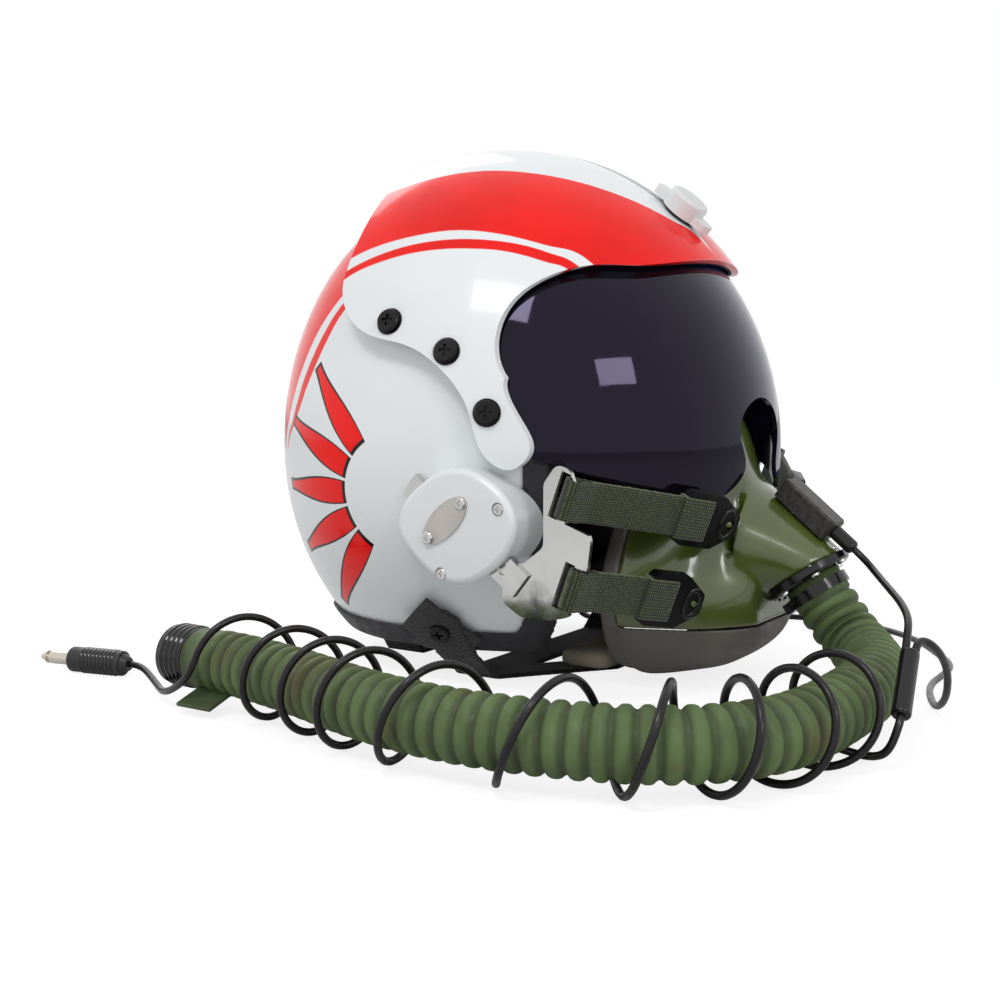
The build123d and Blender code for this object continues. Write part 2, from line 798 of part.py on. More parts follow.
def make_bracket():
    points = shares_at(bracket_shares, bracket_size, bracket_y, bracket_z)
    face = make_face(Polyline(points, close=True))
    face = fillet(face.vertices(), bracket_round)
    body = beside(bracket_reach + bracket_wall / 2, face, bracket_wall)
    for start in (upper_bar, lower_bar):
        tall = strap_width + 2 * fit_gap + strap_wall
        place = Pos(-bracket_reach, *start) * Rot(bar_tilt_deg, 0, 0)
        slot_y = bar_half + strap_slot / 2
        body -= place * Pos(0, slot_y, 0) * Box(2 * bracket_wall, strap_slot, tall)
        front_y = -bar_half - overrun / 2
        body -= place * Pos(0, front_y, 0) * Box(2 * bracket_wall, overrun, tall)
    tongue = bayonet_box(bayonet_start + bayonet_clearance, bayonet_end, 0)
    tongue = chamfer(tongue.faces().sort_by(Axis.Y)[-1].edges().filter_by(Axis.X), bracket_wall)
    reach = bracket_reach - bracket_wall / 2 + bayonet_thick
    turn = radians(bayonet_angle_deg)
    along = bayonet_end * dimple_share
    place = outward(receiver_y - along * cos(turn), receiver_z - along * sin(turn), reach)
    return body + tongue - place * Cylinder(dimple_radius, bracket_wall)


def strap_loop(length, grow):
    """A strap doubled round its bar, in the bar's plane; its run is along X."""
    near = bar_round + strap_wall
    join = 2.6 * near
    half = strap_wall
    outer = Curve() + [
        ThreePointArc((0, near), (-near, 0), (0, -near)),
        Line((0, -near), (join, -half)), Line((join, -half), (length, -half)),
        Line((length, -half), (length, half)), Line((length, half), (join, half)),
        Line((join, half), (0, near)),
    ]
    inner = Curve() + [
        ThreePointArc((0, bar_round), (-bar_round, 0), (0, -bar_round)),
        Line((0, -bar_round), (join, 0)), Line((join, 0), (0, bar_round)),
    ]
    width = strap_width / 2 + grow
    loop = extrude(make_face(outer), width, both=True)
    return loop - extrude(make_face(inner), width + strap_wall, both=True)


def strap_room(length):
    """The channel that a buckle leaves for its strap."""
    thick = 2 * (strap_wall + buckle_clearance)
    wide = strap_width + 2 * buckle_clearance
    return Pos(length - overrun, 0, 0) * Box(2 * overrun + 2 * buckle_clearance, thick, wide)


def make_buckle(length, nose):
    """A buckle at the strap's end, its nose reaching on to the stud on the mask."""
    half_width = strap_width / 2 + buckle_margin
    back = length - buckle_length
    front = length + nose
    outline = Polyline(
        (back, -half_width), (length, -half_width), (front, -nose_half), (front, nose_half),
        (length, half_width), (back, half_width), close=True,
    )
    face = fillet(make_face(outline).vertices(), buckle_margin)
    body = extrude(Plane.XZ * face, buckle_wall / 2, both=True)
    hole = Pos(front - nose_half, 0, 0) * Rot(90, 0, 0)
    body -= hole * Cylinder(stud_radius + running_fit, 2 * buckle_wall)
    return body - strap_room(length)


def stud_place(length, nose):
    return Pos(length + nose - nose_half, 0, 0)


def make_lug(length, nose):
    """The mask's lug under a buckle's nose, with the stud through it."""
    block = Pos(0, -(lug_depth + buckle_wall) / 2, 0)
    block *= Box(2 * nose_half, lug_depth, 2 * nose_half)
    stud = Rot(-90, 0, 0) * rod(stud_radius, buckle_wall + 2 * fit_gap)
    stud = Pos(0, -buckle_wall / 2, 0) * stud
    return stud_place(length, nose) * (block + stud)


# Chin strap, its pad and buckle, and the nape strap
def make_chin_strap():
    """Tabs on the shell's sides, joined by a strap that sags to the floor."""
    start = roll_proud + fit_gap
    layer = wall_between(start + strap_thick, start)
    mid = chin_tab_y
    half = tab_width / 2
    top = rim_height + tab_drop
    tab_face = make_face(Polyline(
        (mid - half, top - tab_drop / 4), (mid - half / 2, top), (mid + 1.5 * half, rim_height),
        (mid + half, tab_low), (mid - half, tab_low), close=True,
    ))
    tabs = layer & side_prism(tab_face)
    run = Polyline(
        (-chin_foot_half, tab_low + strap_thick), (-chin_strap_half, strap_thick / 2),
        (0, strap_thick / 2),
    )
    band = extrude(Plane.XZ * trace(run, strap_thick), half, both=True)
    band = Pos(0, mid, 0) * (band + mirrored(band))
    under = dome(start) & slab(tab_low - strap_thick, far)
    band = (band - under) & dome(start + strap_thick)
    plan = make_face(Polyline(
        (-chin_strap_half, mid + half), (-chin_strap_half, mid - half), (-half, chin_pad_y - half),
        (half, chin_pad_y - half), (chin_strap_half, mid - half), (chin_strap_half, mid + half),
        (half, chin_pad_y + half), (-half, chin_pad_y + half), close=True,
    ))
    strap = tabs + band + extrude(plan, strap_thick)
    for plane in tab_screw_planes():
        strap -= plane.location * Cylinder(screw_shank_radius + running_fit, overrun)
    return strap


def make_chin_pad():
    pad = Box(chin_pad_length, chin_pad_width, chin_pad_height)
    pad = fillet(pad.edges().filter_by(Axis.Z), chin_pad_width / 4)
    pad = fillet(pad.edges().group_by(Axis.Z)[-1], chin_pad_height / 3)
    return Pos(0, chin_pad_y, strap_thick + chin_pad_height / 2) * pad


def make_nape_strap():
    start = -shell_wall
    layer = wall_between(start, start - strap_thick)
    mid = nape_strap_y
    half = tab_width / 2
    low = rim_height + roll_width + fit_gap
    tab_face = Pos(mid, low + tab_drop / 2) * Rectangle(tab_width, tab_drop)
    tabs = layer & side_prism(tab_face)
    run = Polyline(
        (-shell_half_width, low + 3 * strap_thick), (-nape_half, low + 2 * strap_thick),
        (-nape_waist, rim_height - roll_lip), (-nape_strap_low_half, strap_thick / 2),
        (0, strap_thick / 2),
    )
    band = Pos(0, mid, 0) * extrude(Plane.XZ * trace(run, strap_thick), half, both=True)
    band = (band + mirrored(band)) & (dome(start) + slab(-far, strap_thick + rim_height / 2))
    roll = wall_between(roll_proud + fit_gap, start - roll_proud - fit_gap)
    roll &= slab(rim_height - roll_lip - fit_gap, rim_height + roll_width + fit_gap)
    return tabs + band - roll


def tab_screw_planes():
    planes = []
    start = roll_proud + fit_gap + strap_thick
    height = chin_screw_z - dome_height
    for side in (-1, 1):
        share = (chin_tab_y / (shell_radius + start)) ** 2 + (height / (shell_drop + start)) ** 2
        x = side * (shell_half_width + start) * sqrt(1 - share)
        normal = (
            x / (shell_half_width + start) ** 2, chin_tab_y / (shell_radius + start) ** 2,
            height / (shell_drop + start) ** 2,
        )
        planes.append(plane_at((x, chin_tab_y, chin_screw_z), normal))
    return planes


def make_strap_screws():
    screw = pan_head(strap_screw_radius, screw_head_height, screw_shank_radius, strap_thick)
    return Compound([plane.location * screw for plane in tab_screw_planes()])


# Oxygen mask
def pear(y, low, high, half, inset):
    """A section of the mask, narrow at the nose and wide at the cheeks."""
    low += inset
    tall = high - inset - low
    half -= inset
    right = [(half * x, low + tall * z) for x, z in pear_shares]
    left = [(-x, z) for x, z in reversed(right[:-1])]
    curve = Spline(right + left[:-1], periodic=True)
    return Plane(origin=(0, y, 0), x_dir=(1, 0, 0), z_dir=(0, -1, 0)) * make_face(curve)


def port_plane(out):
    """The port's plane, moved out along the port's axis, with its X across."""
    turn = radians(port_angle_deg)
    axis = Vector(0, -cos(turn), -sin(turn))
    origin = Vector(0, port_y, port_z) + axis * out
    return Plane(origin=origin, x_dir=(1, 0, 0), z_dir=axis)


def mask_body(inset):
    """The mask's form with its snout, or the room inside it."""
    sections = [pear(*section, inset) for section in mask_sections]
    sections[0] = Pos(0, inset, 0) * sections[0]
    sections[-1] = Pos(0, inset, 0) * sections[-1]
    body = loft(sections)
    root = Plane(origin=(0, snout_y, snout_z), x_dir=(1, 0, 0), z_dir=(0, -1, 0))
    base = root * Ellipse(snout_half_width - inset, snout_half_height - inset)
    rim = port_plane(0) * Circle(port_radius - inset)
    return body + loft([base, rim], ruled=True)


def make_mask(outer, inner):
    """The green upper part of the mask, with the lugs for the straps."""
    rear = Pos(0, -far + mask_sections[0][0], 0) * Box(2 * far, 2 * far, 2 * far)
    lugs = []
    for (plane, length), nose in zip(bar_frames(), (upper_nose, lower_nose)):
        lug = plane.location * make_lug(length, nose)
        lugs += [lug, mirrored(lug)]
    body = (outer + lugs - inner) & slab(mask_two_tone, far) & rear
    seat = port_radius - mask_wall - fit_gap + running_fit
    body -= port_plane(0).location * Cylinder(seat, 2 * mask_wall)
    body -= port_plane(0).location * rod(flange_radius + fit_gap, far)
    for place in flange_screw_places():
        body -= place * Cylinder(flange_screw_radius / 2 + running_fit, 8 * mask_wall)
    right = (body - mic_room(running_fit)) & Pos(-far, 0, 0) * Box(2 * far, 2 * far, 2 * far)
    return right + mirrored(right)


def make_face_seal(outer, inner):
    """The grey lower part of the mask and the soft lip against the face."""
    lower = (outer - inner) & slab(-far, mask_two_tone)
    y, low, high, half = mask_sections[0]
    edge = extrude(pear(y, low, high, half, 0), -seal_rear)
    hole = extrude(pear(y, low, high, half, mask_wall + seal_wall), -2 * seal_rear)
    edge = fillet(edge.edges().sort_by(Axis.Y)[-1:], seal_wall)
    return lower + (edge - hole)


def flange_screw_places():
    places = []
    for index in range(flange_screw_count):
        turn = 360 * (index + 0.5) / flange_screw_count
        off = Pos(flange_screw_ring, 0, flange_wall)
        places.append(port_plane(0).location * Rot(0, 0, turn) * off)
    return places


def make_flange():
    """The port's flange, with the spigot that the hose is pushed on."""
    flange = rod(flange_radius, flange_wall)
    flange = chamfer(flange.edges().sort_by(Axis.Z)[-1:], flange_wall / 4)
    flange += rod(hose_bore - running_fit, flange_wall + spigot_length)
    flange -= Cylinder(hose_bore - spigot_wall, 4 * spigot_length)
    flange = port_plane(0).location * flange
    for place in flange_screw_places():
        flange -= place * Cylinder(flange_screw_radius / 2 + running_fit, 4 * flange_wall)
    return flange


def make_flange_screws():
    screw = pan_head(
        flange_screw_radius, flange_screw_radius / 2, flange_screw_radius / 2,
        flange_wall + flange_screw_length,
    )
    return Compound([place * screw for place in flange_screw_places()])


def valve_place():
    """The port's plane with its Z into the mask."""
    return port_plane(0).location * Rot(180, 0, 0)


def make_valve():
    """The valve's seat inside the port: a ring with spokes and a guide for the stem."""
    outer = port_radius - mask_wall - fit_gap
    seat = rod(outer, valve_wall)
    seat -= Cylinder(valve_disc_radius - valve_wall, 4 * valve_wall)
    for turn in (0, 60, 120):
        spoke = Box(2 * valve_disc_radius, valve_spoke, valve_wall)
        seat += Pos(0, 0, valve_wall / 2) * Rot(0, 0, turn) * spoke
    guide = rod(2 * valve_stem_radius, valve_length + valve_wall)
    seat += Pos(0, 0, -valve_length) * guide
    seat -= Cylinder(valve_stem_radius + running_fit, 4 * valve_length)
    return valve_place() * seat


def make_valve_disc():
    """The flap that opens into the mask, with its stem in the seat's guide."""
    disc = Pos(0, 0, valve_wall + fit_gap) * rod(valve_disc_radius, valve_disc_wall)
    stem = rod(valve_stem_radius, valve_length + valve_wall + fit_gap)
    return valve_place() * (disc + Pos(0, 0, -valve_length) * stem)


def mic_place():
    """The microphone connector's place on top of the snout; X runs down along it."""
    slope = Vector(0, -cos(radians(mic_slope_deg)), -sin(radians(mic_slope_deg)))
    normal = Vector(0, -sin(radians(mic_slope_deg)), cos(radians(mic_slope_deg)))
    return Plane(origin=(0, mic_y, mic_z), x_dir=slope, z_dir=normal)


def mic_room(grow):
    """The capsule's bore through the mask, under the connector."""
    return mic_place().location * Pos(0, 0, -3 * mask_wall) * rod(mic_stem_radius + grow, 3 * mask_wall)


def make_mic_connector():
    block = Pos(0, 0, mic_height / 2) * Box(mic_length, mic_width, mic_height)
    block = fillet(block.edges().filter_by(Axis.Z), mic_round)
    block = chamfer(block.edges().group_by(Axis.Z)[-1], mic_round / 2)
    socket = Pos(mic_length / 2, 0, mic_height / 2) * Rot(0, 90, 0)
    block -= socket * Cylinder(mic_plug_radius - mic_round / 2 + running_fit, mic_length / 2)
    return mic_place().location * block + mic_room(0)


def make_mic_plug():
    plug = rod(mic_plug_radius, mic_plug_length)
    plug = fillet(plug.edges().sort_by(Axis.Z)[-1:], mic_round)
    plug += Pos(0, 0, -mic_length / 4) * rod(mic_plug_radius - mic_round / 2, mic_length / 4)
    place = Pos(mic_length / 2 + fit_gap, 0, mic_height / 2) * Rot(0, 90, 0)
    return mic_place().location * place * plug


def make_microphone():
    capsule = Pos(0, 0, -3 * mask_wall - mic_capsule_height) * rod(mic_capsule_radius, mic_capsule_height)
    return mic_place().location * capsule


# Routes of the hose and the cords
def corner_radii(points):
    """The radius at each corner that leaves a stretch straight on both sides."""
    points = [Vector(*point) for point in points]
    radii = []
    for before, here, after in zip(points, points[1:], points[2:]):
        first = here - before
        second = after - here
        half_turn = radians(first.get_angle(second)) / 2
        radii.append(corner_share * min(first.length, second.length) / tan(half_turn))
    return radii


def route_line(points, name):
    radii = corner_radii(points)
    print(name, "corner radii", [round(radius, 1) for radius in radii])
    return FilletPolyline(*points, radius=radii)


def tube(path, radius, name):
    """A round cord along a path, its volume compared with section times length."""
    section = Plane(origin=path @ 0, z_dir=path % 0) * Circle(radius)
    cord = sweep(section, path)
    share = cord.volume / (pi * radius**2 * path.length)
    print(name, "length", round(path.length, 1), "volume share", round(share, 4))
    return cord


def steady_plane(path, distance):
    """A plane across the path, its X level."""
    point = path.position_at(distance, position_mode=PositionMode.LENGTH)
    heading = path.tangent_at(distance, position_mode=PositionMode.LENGTH)
    return Plane(origin=point, x_dir=heading.cross(Vector(0, 0, 1)), z_dir=heading)


def hose_points():
    """The hose's route, its first stretch square to the port's flange."""
    start = port_plane(flange_wall + running_fit).origin
    return [start, start + port_plane(0).z_dir * hose_drop] + hose_route


def make_hose(path):
    """The ribbed hose with a plain cuff at both ends."""
    ribs = int((path.length - 2 * cuff_length) / rib_pitch)
    pitch = (path.length - 2 * cuff_length) / ribs
    stations = [(0, cuff_radius)]
    for rib in range(ribs):
        start = cuff_length + rib * pitch
        for place, height in zip(rib_place_shares, rib_height_shares):
            radius = hose_root_radius + height * (hose_radius - hose_root_radius)
            stations.append((start + place * pitch, radius))
    stations.append((path.length - cuff_length, hose_root_radius))
    stations.append((path.length, cuff_radius))
    sections = [steady_plane(path, place) * Circle(radius) for place, radius in stations]
    outer = loft(sections, ruled=True)
    section = Plane(origin=path @ 0, z_dir=path % 0) * Circle(hose_bore)
    print("hose ribs", ribs, "length", round(path.length, 1))
    return outer - sweep(section, path)


def make_clamp(path):
    plane = steady_plane(path, cuff_length / 2)
    band = Cylinder(cuff_radius + clamp_wall, clamp_width) - Cylinder(cuff_radius, overrun)
    lug = Pos(0, cuff_radius + clamp_wall, 0)
    lug *= Box(2 * clamp_width, clamp_width, clamp_width)
    band += lug - Cylinder(cuff_radius, overrun)
    return plane.location * band


def make_hose_connector(path):
    """The end connector, its spigot inside the hose's last cuff."""
    plane = steady_plane(path, path.length)
    body = rod(cuff_radius, connector_length)
    body = chamfer(body.edges().sort_by(Axis.Z)[-1:], connector_wall / 2)
    body += Pos(0, 0, -spigot_length) * rod(hose_bore - running_fit, spigot_length)
    body -= Cylinder(hose_bore - connector_wall, 4 * connector_length)
    return plane.location * body


def biarc(start, start_heading, end, end_heading):
    """Two arcs that meet tangentially, between two places with their headings."""
    gap = end - start
    both = start_heading + end_heading
    spread = 2 * (1 - start_heading.dot(end_heading))
    reach = gap.dot(both)
    if spread < parallel_limit:
        step = gap.dot(gap) / (2 * reach)
    else:
        step = (sqrt(reach**2 + spread * gap.dot(gap)) - reach) / spread
    first = start + start_heading * step
    second = end - end_heading * step
    halfway = (first + second) / 2
    turn_in = Edge.make_tangent_arc(start, start_heading, halfway)
    turn_out = Edge.make_tangent_arc(halfway, second - first, end)
    return [turn_in, turn_out]


def winding_point(path, turn):
    """The wound cord's middle, counted in half turns from under the hose."""
    index = min(int(turn), len(winding_stations) - 2)
    part = turn - index
    low, high = winding_stations[index:index + 2]
    plane = steady_plane(path, low + part * (high - low))
    angle = pi * turn - pi / 2
    radius = winding_radius + winding_rise * (1 + sin(angle)) / 2
    level = plane.x_dir * (radius * cos(angle))
    return plane.origin + level + Vector(0, 0, radius * sin(angle))


def make_comm_cord(path):
    """The wound cord, from the splitter round the hose to the plug."""
    turns = [index / 2 for index in range(2 * len(winding_stations) - 2)]
    points = [winding_point(path, turn) for turn in turns]
    headings = []
    for turn in turns:
        before = winding_point(path, max(turn - look_share, 0))
        after = winding_point(path, turn + look_share)
        headings.append((after - before).normalized())
    outlet = Vector(*junction_end) + junction_heading() * 2 * cord_radius
    lead, lead_headings = route_ends([outlet] + lead_route, junction_heading(), points[0])
    tail, tail_headings = route_ends(
        tail_route[::-1], Vector(*plug_heading).normalized() * -1, points[-1]
    )
    places = lead + points + tail[::-1]
    courses = lead_headings + headings + [heading * -1 for heading in tail_headings[::-1]]
    first = Line(lead[0] - lead_headings[0] * 2 * cord_radius, lead[0])
    edges = [first]
    for index in range(len(places) - 1):
        edges += biarc(places[index], courses[index], places[index + 1], courses[index + 1])
    edges.append(Line(places[-1], places[-1] + courses[-1] * 2 * cord_radius))
    return Wire(edges), points


def route_ends(points, heading, onward):
    """Places of an end stretch with their headings, the first one given."""
    places = [Vector(*point) for point in points]
    headings = [heading]
    for before, after in zip(places, places[2:] + [onward]):
        headings.append((after - before).normalized())
    return places, headings


def least_self_gap(path):
    """The least gap between two stretches of the winding, measured on points."""
    count = int(path.length / cord_radius)
    points = [path @ (index / count) for index in range(count + 1)]
    apart = int(gap_reach / cord_radius)
    least = far
    for index, point in enumerate(points):
        for other in points[index + apart:]:
            least = min(least, (other - point).length)
    return least - 2 * cord_radius


def junction_heading():
    return (Vector(*junction_end) - Vector(*junction_start)).normalized()


def make_junction():
    start = Vector(*junction_start)
    length = (Vector(*junction_end) - start).length
    body = rod(junction_radius, length)
    body = fillet(body.edges().filter_by(GeomType.CIRCLE), junction_radius / 3)
    return Plane(origin=start, z_dir=junction_heading()).location * body


def plug_plane():
    """The plug's start, at the end of the wound cord."""
    heading = Vector(*plug_heading).normalized()
    origin = Vector(*tail_route[-1]) + heading * 2 * cord_radius
    return Plane(origin=origin, z_dir=heading)


def make_plug():
    neck = Cone(
        2 * cord_radius, plug_radius * 0.8, plug_neck_length,
        align=(Align.CENTER, Align.CENTER, Align.MIN),
    )
    body = Pos(0, 0, plug_neck_length) * rod(plug_radius, plug_body_length)
    body = fillet(body.edges().filter_by(GeomType.CIRCLE), plug_radius / 6)
    hole = Pos(0, 0, plug_neck_length + plug_body_length - pin_hold)
    held_radius = pin_hold_share * pin_radius
    body = neck + body - hole * rod(held_radius + running_fit / 2, plug_body_length)
    return plug_plane().location * body


def make_pin():
    length = pin_length + pin_hold
    pin = rod(pin_hold_share * pin_radius, length - pin_tip_length)
    pin += Pos(0, 0, pin_hold) * rod(pin_radius, pin_length - pin_tip_length)
    neck = Pos(0, 0, length - pin_tip_length) * rod(0.7 * pin_radius, pin_tip_length / 3)
    tip = Pos(0, 0, length - 2 * pin_tip_length / 3) * Cone(
        pin_radius, 0.4 * pin_radius, 2 * pin_tip_length / 3,
        align=(Align.CENTER, Align.CENTER, Align.MIN),
    )
    place = Pos(0, 0, plug_neck_length + plug_body_length - pin_hold)
    return plug_plane().location * place * (pin + neck + tip)


def side_by_side(level):
    """Where a cord leaves the splitter's top, one beside the other."""
    across = junction_heading().cross(Vector(0, 0, 1)).normalized()
    return Vector(*junction_start) + across * level


def make_mic_cord():
    plane = mic_place()
    reach = mic_length / 2 + fit_gap + mic_plug_length
    start = plane.origin + plane.x_dir * reach + plane.z_dir * (mic_height / 2)
    end = side_by_side(cord_spacing)
    points = [start, start + plane.x_dir * cord_lead]
    points += [Vector(*point) for point in mic_route]
    points += [end - junction_heading() * cord_lead, end]
    return tube(route_line(points, "mic cord"), cord_radius, "mic cord")


def make_branch_cord():
    start = side_by_side(-cord_spacing)
    points = [start, start - junction_heading() * cord_lead]
    points += [Vector(*point) for point in branch_route]
    return tube(route_line(points, "branch cord"), cord_radius, "branch cord")


def save(shape, name):
    """Write one piece, moved so that the origin lies under the object's middle."""
    moved = Pos(0, origin_shift, 0) * shape
    solids = moved.solids()
    print(name, "solids", len(solids), "volume", round(sum(s.volume for s in solids)))
    export_step(Compound(list(solids)) if len(solids) > 1 else solids[0], f"parts/{name}.step")


def save_pair(right, name):
    save(right, name + "_right")
    save(mirrored(right), name + "_left")


os.makedirs("parts", exist_ok=True)
shell = make_shell()
save(make_edge_roll(shell), "edge_roll")
save(shell - screw_bores(screw_shank_radius + running_fit), "shell")
save(make_liner(), "energy_liner")
for pad, name in zip(make_head_pads(), ("crown_pad", "brow_pad", "nape_pad")):
    save(pad, name)
save_pair(make_ear_cup(), "ear_cup")
save_pair(make_ear_seal(), "ear_seal")
save_pair(make_earphone(), "earphone")
save_pair(make_cheek_pad(), "cheek_pad")
ear_spacer = make_cup_spacer()
save(Compound([ear_spacer, mirrored(ear_spacer)]), "ear_spacers")
save(make_cover(), "visor_cover")
save(make_cover_trim(), "cover_trim")
save(make_cover_screws(), "cover_screws")
save(make_cover_spacers(), "cover_spacers")
save(make_lens(), "visor_lens")
save(make_slider(), "visor_slider")
save(make_gasket(), "knob_gasket")
save(make_knob(), "visor_knob")
save_pair(make_receiver(), "receiver")
save_pair(make_label(), "label_plate")
receiver_screws = make_receiver_screws()
save(Compound(receiver_screws + [mirrored(s) for s in receiver_screws]), "receiver_screws")
save_pair(make_lever(), "release_lever")
save_pair(make_bracket(), "bayonet_bracket")
for (plane, length), nose, name in zip(bar_frames(), (upper_nose, lower_nose), ("upper", "lower")):
    save_pair(plane.location * strap_loop(length, 0), name + "_strap")
    buckle = plane.location * make_buckle(length, nose)
    save(Compound([buckle, mirrored(buckle)]), name + "_buckles")
save(make_chin_strap(), "chin_strap")
save(make_chin_pad(), "chin_pad")
save(make_nape_strap(), "nape_strap")
save(make_strap_screws(), "strap_screws")
mask_outer = mask_body(0)
mask_inner = mask_body(mask_wall)
save(make_mask(mask_outer, mask_inner), "mask_shell")
save(make_face_seal(mask_outer, mask_inner), "face_seal")
save(make_flange(), "port_flange")
save(make_flange_screws(), "port_screws")
save(make_valve(), "valve_body")
save(make_valve_disc(), "valve_disc")
save(make_mic_connector(), "mic_connector")
save(make_mic_plug(), "mic_plug")
save(make_microphone(), "microphone")
hose_path = route_line(hose_points(), "hose")
save(make_hose(hose_path), "hose")
save(make_clamp(hose_path), "hose_clamp")
save(make_hose_connector(hose_path), "hose_connector")
cord_path, cord_points = make_comm_cord(hose_path)
save(tube(cord_path, cord_radius, "comm cord"), "comm_cord")
print("winding's least self gap", round(least_self_gap(cord_path), 2))
save(make_junction(), "cord_junction")
save(make_mic_cord(), "mic_cord")
save(make_branch_cord(), "branch_cord")
save(make_plug(), "plug_body")
save(make_pin(), "plug_pin")
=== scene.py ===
# %% [markdown]
# # A pilot's flight helmet with its oxygen mask
# This lesson dresses a finished CAD model. The CAD gives every hard piece its true size
# and place in metres. Here the camera, the light, the finishes and the soft pieces are
# added: cords, hose, webbing and padding. Nothing that the CAD made is moved.

# %% Load the CAD frame
import math

import bmesh
import bpy
from mathutils import Matrix, Vector
from mathutils.bvhtree import BVHTree


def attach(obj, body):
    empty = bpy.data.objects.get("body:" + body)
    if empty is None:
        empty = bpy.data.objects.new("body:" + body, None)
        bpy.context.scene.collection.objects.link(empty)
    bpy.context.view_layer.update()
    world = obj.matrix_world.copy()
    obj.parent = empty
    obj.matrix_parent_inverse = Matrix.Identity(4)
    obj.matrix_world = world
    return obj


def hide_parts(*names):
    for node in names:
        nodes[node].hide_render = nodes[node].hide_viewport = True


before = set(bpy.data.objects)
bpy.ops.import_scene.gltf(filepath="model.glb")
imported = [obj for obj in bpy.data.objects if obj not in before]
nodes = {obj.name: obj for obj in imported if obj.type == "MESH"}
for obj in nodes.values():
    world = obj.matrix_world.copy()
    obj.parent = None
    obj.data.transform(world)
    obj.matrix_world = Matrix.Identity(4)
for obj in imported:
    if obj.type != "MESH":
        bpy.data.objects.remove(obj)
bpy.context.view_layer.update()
print("CAD nodes", len(nodes))

shift = 0.0385
dome = Vector((0, shift, 0.1084))


def place(x, y, z):
    """A place drawn about the dome's middle in millimetres, in the frame's metres."""
    return Vector((x / 1000, y / 1000 + shift, z / 1000))


# %% [markdown]
# ## Camera
# The photograph was fitted with a plain pinhole camera a little right of the wearer's
# front. A 50 mm lens on a 36 mm sensor shows the helmet as large as the photograph does.

# %% Camera
camera_data = bpy.data.cameras.new("camera")
camera_data.lens = 50.4
camera_data.sensor_width = 36
camera = bpy.data.objects.new("camera", camera_data)
camera.location = place(-613.59, -394.89, 157.0)
camera.rotation_euler = (math.radians(90 - 6.1155), 0, math.radians(-57))
bpy.context.scene.collection.objects.link(camera)
bpy.context.scene.camera = camera
bpy.context.scene.view_settings.view_transform = "Standard"
print("camera at", [round(v, 3) for v in camera.location])

# %% [markdown]
# ## Cords
# A cord is one smooth NURBS curve. Its control points repeat the route of the CAD tube,
# so the curve lies where the solid lies. The order of the spline is set after the points.


# %% Cord helper
def smooth_route(name, points, radius):
    """A round cord along control points; the radius gives the curve its thickness."""
    curve = bpy.data.curves.new(name, "CURVE")
    curve.dimensions = "3D"
    spline = curve.splines.new("NURBS")
    spline.points.add(len(points) - 1)
    for control, point in zip(spline.points, points):
        control.co = (*point, 1)
    spline.order_u = 3
    spline.use_endpoint_u = True
    spline.resolution_u = 6
    curve.bevel_depth = radius
    curve.bevel_resolution = 4
    curve.use_fill_caps = True
    cord = bpy.data.objects.new(name, curve)
    bpy.context.scene.collection.objects.link(cord)
    return cord


def line_of(points, resolution=12):
    """Points along the smooth line through a route's control points."""
    guide = smooth_route("guide", points, 0)
    guide.data.splines[0].resolution_u = resolution
    guide.data.use_fill_caps = False
    mesh = bpy.data.meshes.new_from_object(guide)
    line = [vertex.co.copy() for vertex in mesh.vertices]
    bpy.data.objects.remove(guide)
    bpy.data.meshes.remove(mesh)
    return line


def length_of(line):
    return sum((b - a).length for a, b in zip(line, line[1:]))


# %% The hose's route
port_axis = Vector((0, -math.cos(math.radians(54.2)), -math.sin(math.radians(54.2))))
port_start = place(0, -165.5, 55.0) + port_axis * 0.00406
hose_route = [port_start, port_start + port_axis * 0.0244]
hose_route += [place(*point) for point in (
    (-12, -199, 21.6), (-36, -212, 20.3), (-64, -217, 20.3),
    (-95, -218, 20.3), (-126, -217, 20.3), (-154, -211, 20.3), (-177, -195, 20.3),
    (-191, -171, 20.3), (-199, -144, 20.3), (-203, -116, 20.3), (-202, -86, 20.3),
    (-195, -54, 20.3), (-184, -22, 20.3), (-176, 8, 20.3), (-171.5, 32, 20.3),
    (-170.5, 52, 20.3),
)]
hose_line = line_of(hose_route)
print("hose length", round(length_of(hose_line), 4), "points", len(hose_line))

# %% [markdown]
# ## The comm cord
# The thin lead leaves the splitter, reaches the floor and is wound round the hose in loose
# turns before it ends in its plug. A winding could be a screw modifier, but here each turn
# has its own width, so a loop lays twelve control points a turn round the hose's own line.
# A smooth curve cuts inside its control points, so they stand a little further out.

# %% The wound lead's points
up = Vector((0, 0, 1))
stations = (131, 141, 159, 174, 188, 202, 215, 230, 247, 268, 293, 317, 340, 355,
            368, 381, 393, 410, 425, 446, 468)
steps_a_half_turn = 6
curve_share = 0.966


def at_length(line, distance):
    """Place and heading at a distance along a line of points."""
    for a, b in zip(line, line[1:]):
        step = (b - a).length
        if distance <= step:
            break
        distance -= step
    return a.lerp(b, min(distance / step, 1)), (b - a).normalized()


def winding_place(half_turns):
    """A control point of the winding, counted in half turns from under the hose."""
    index = min(int(half_turns), len(stations) - 2)
    low, high = stations[index:index + 2]
    origin, heading = at_length(hose_line, (low + (half_turns - index) * (high - low)) / 1000)
    level = Vector((heading.x, heading.y, 0)).normalized().cross(up)
    angle = math.pi * half_turns - math.pi / 2
    radius = (0.0184 + 0.0015 * (1 + math.sin(angle))) / curve_share
    return origin + level * (radius * math.cos(angle)) + up * (radius * math.sin(angle) + 0.0005)


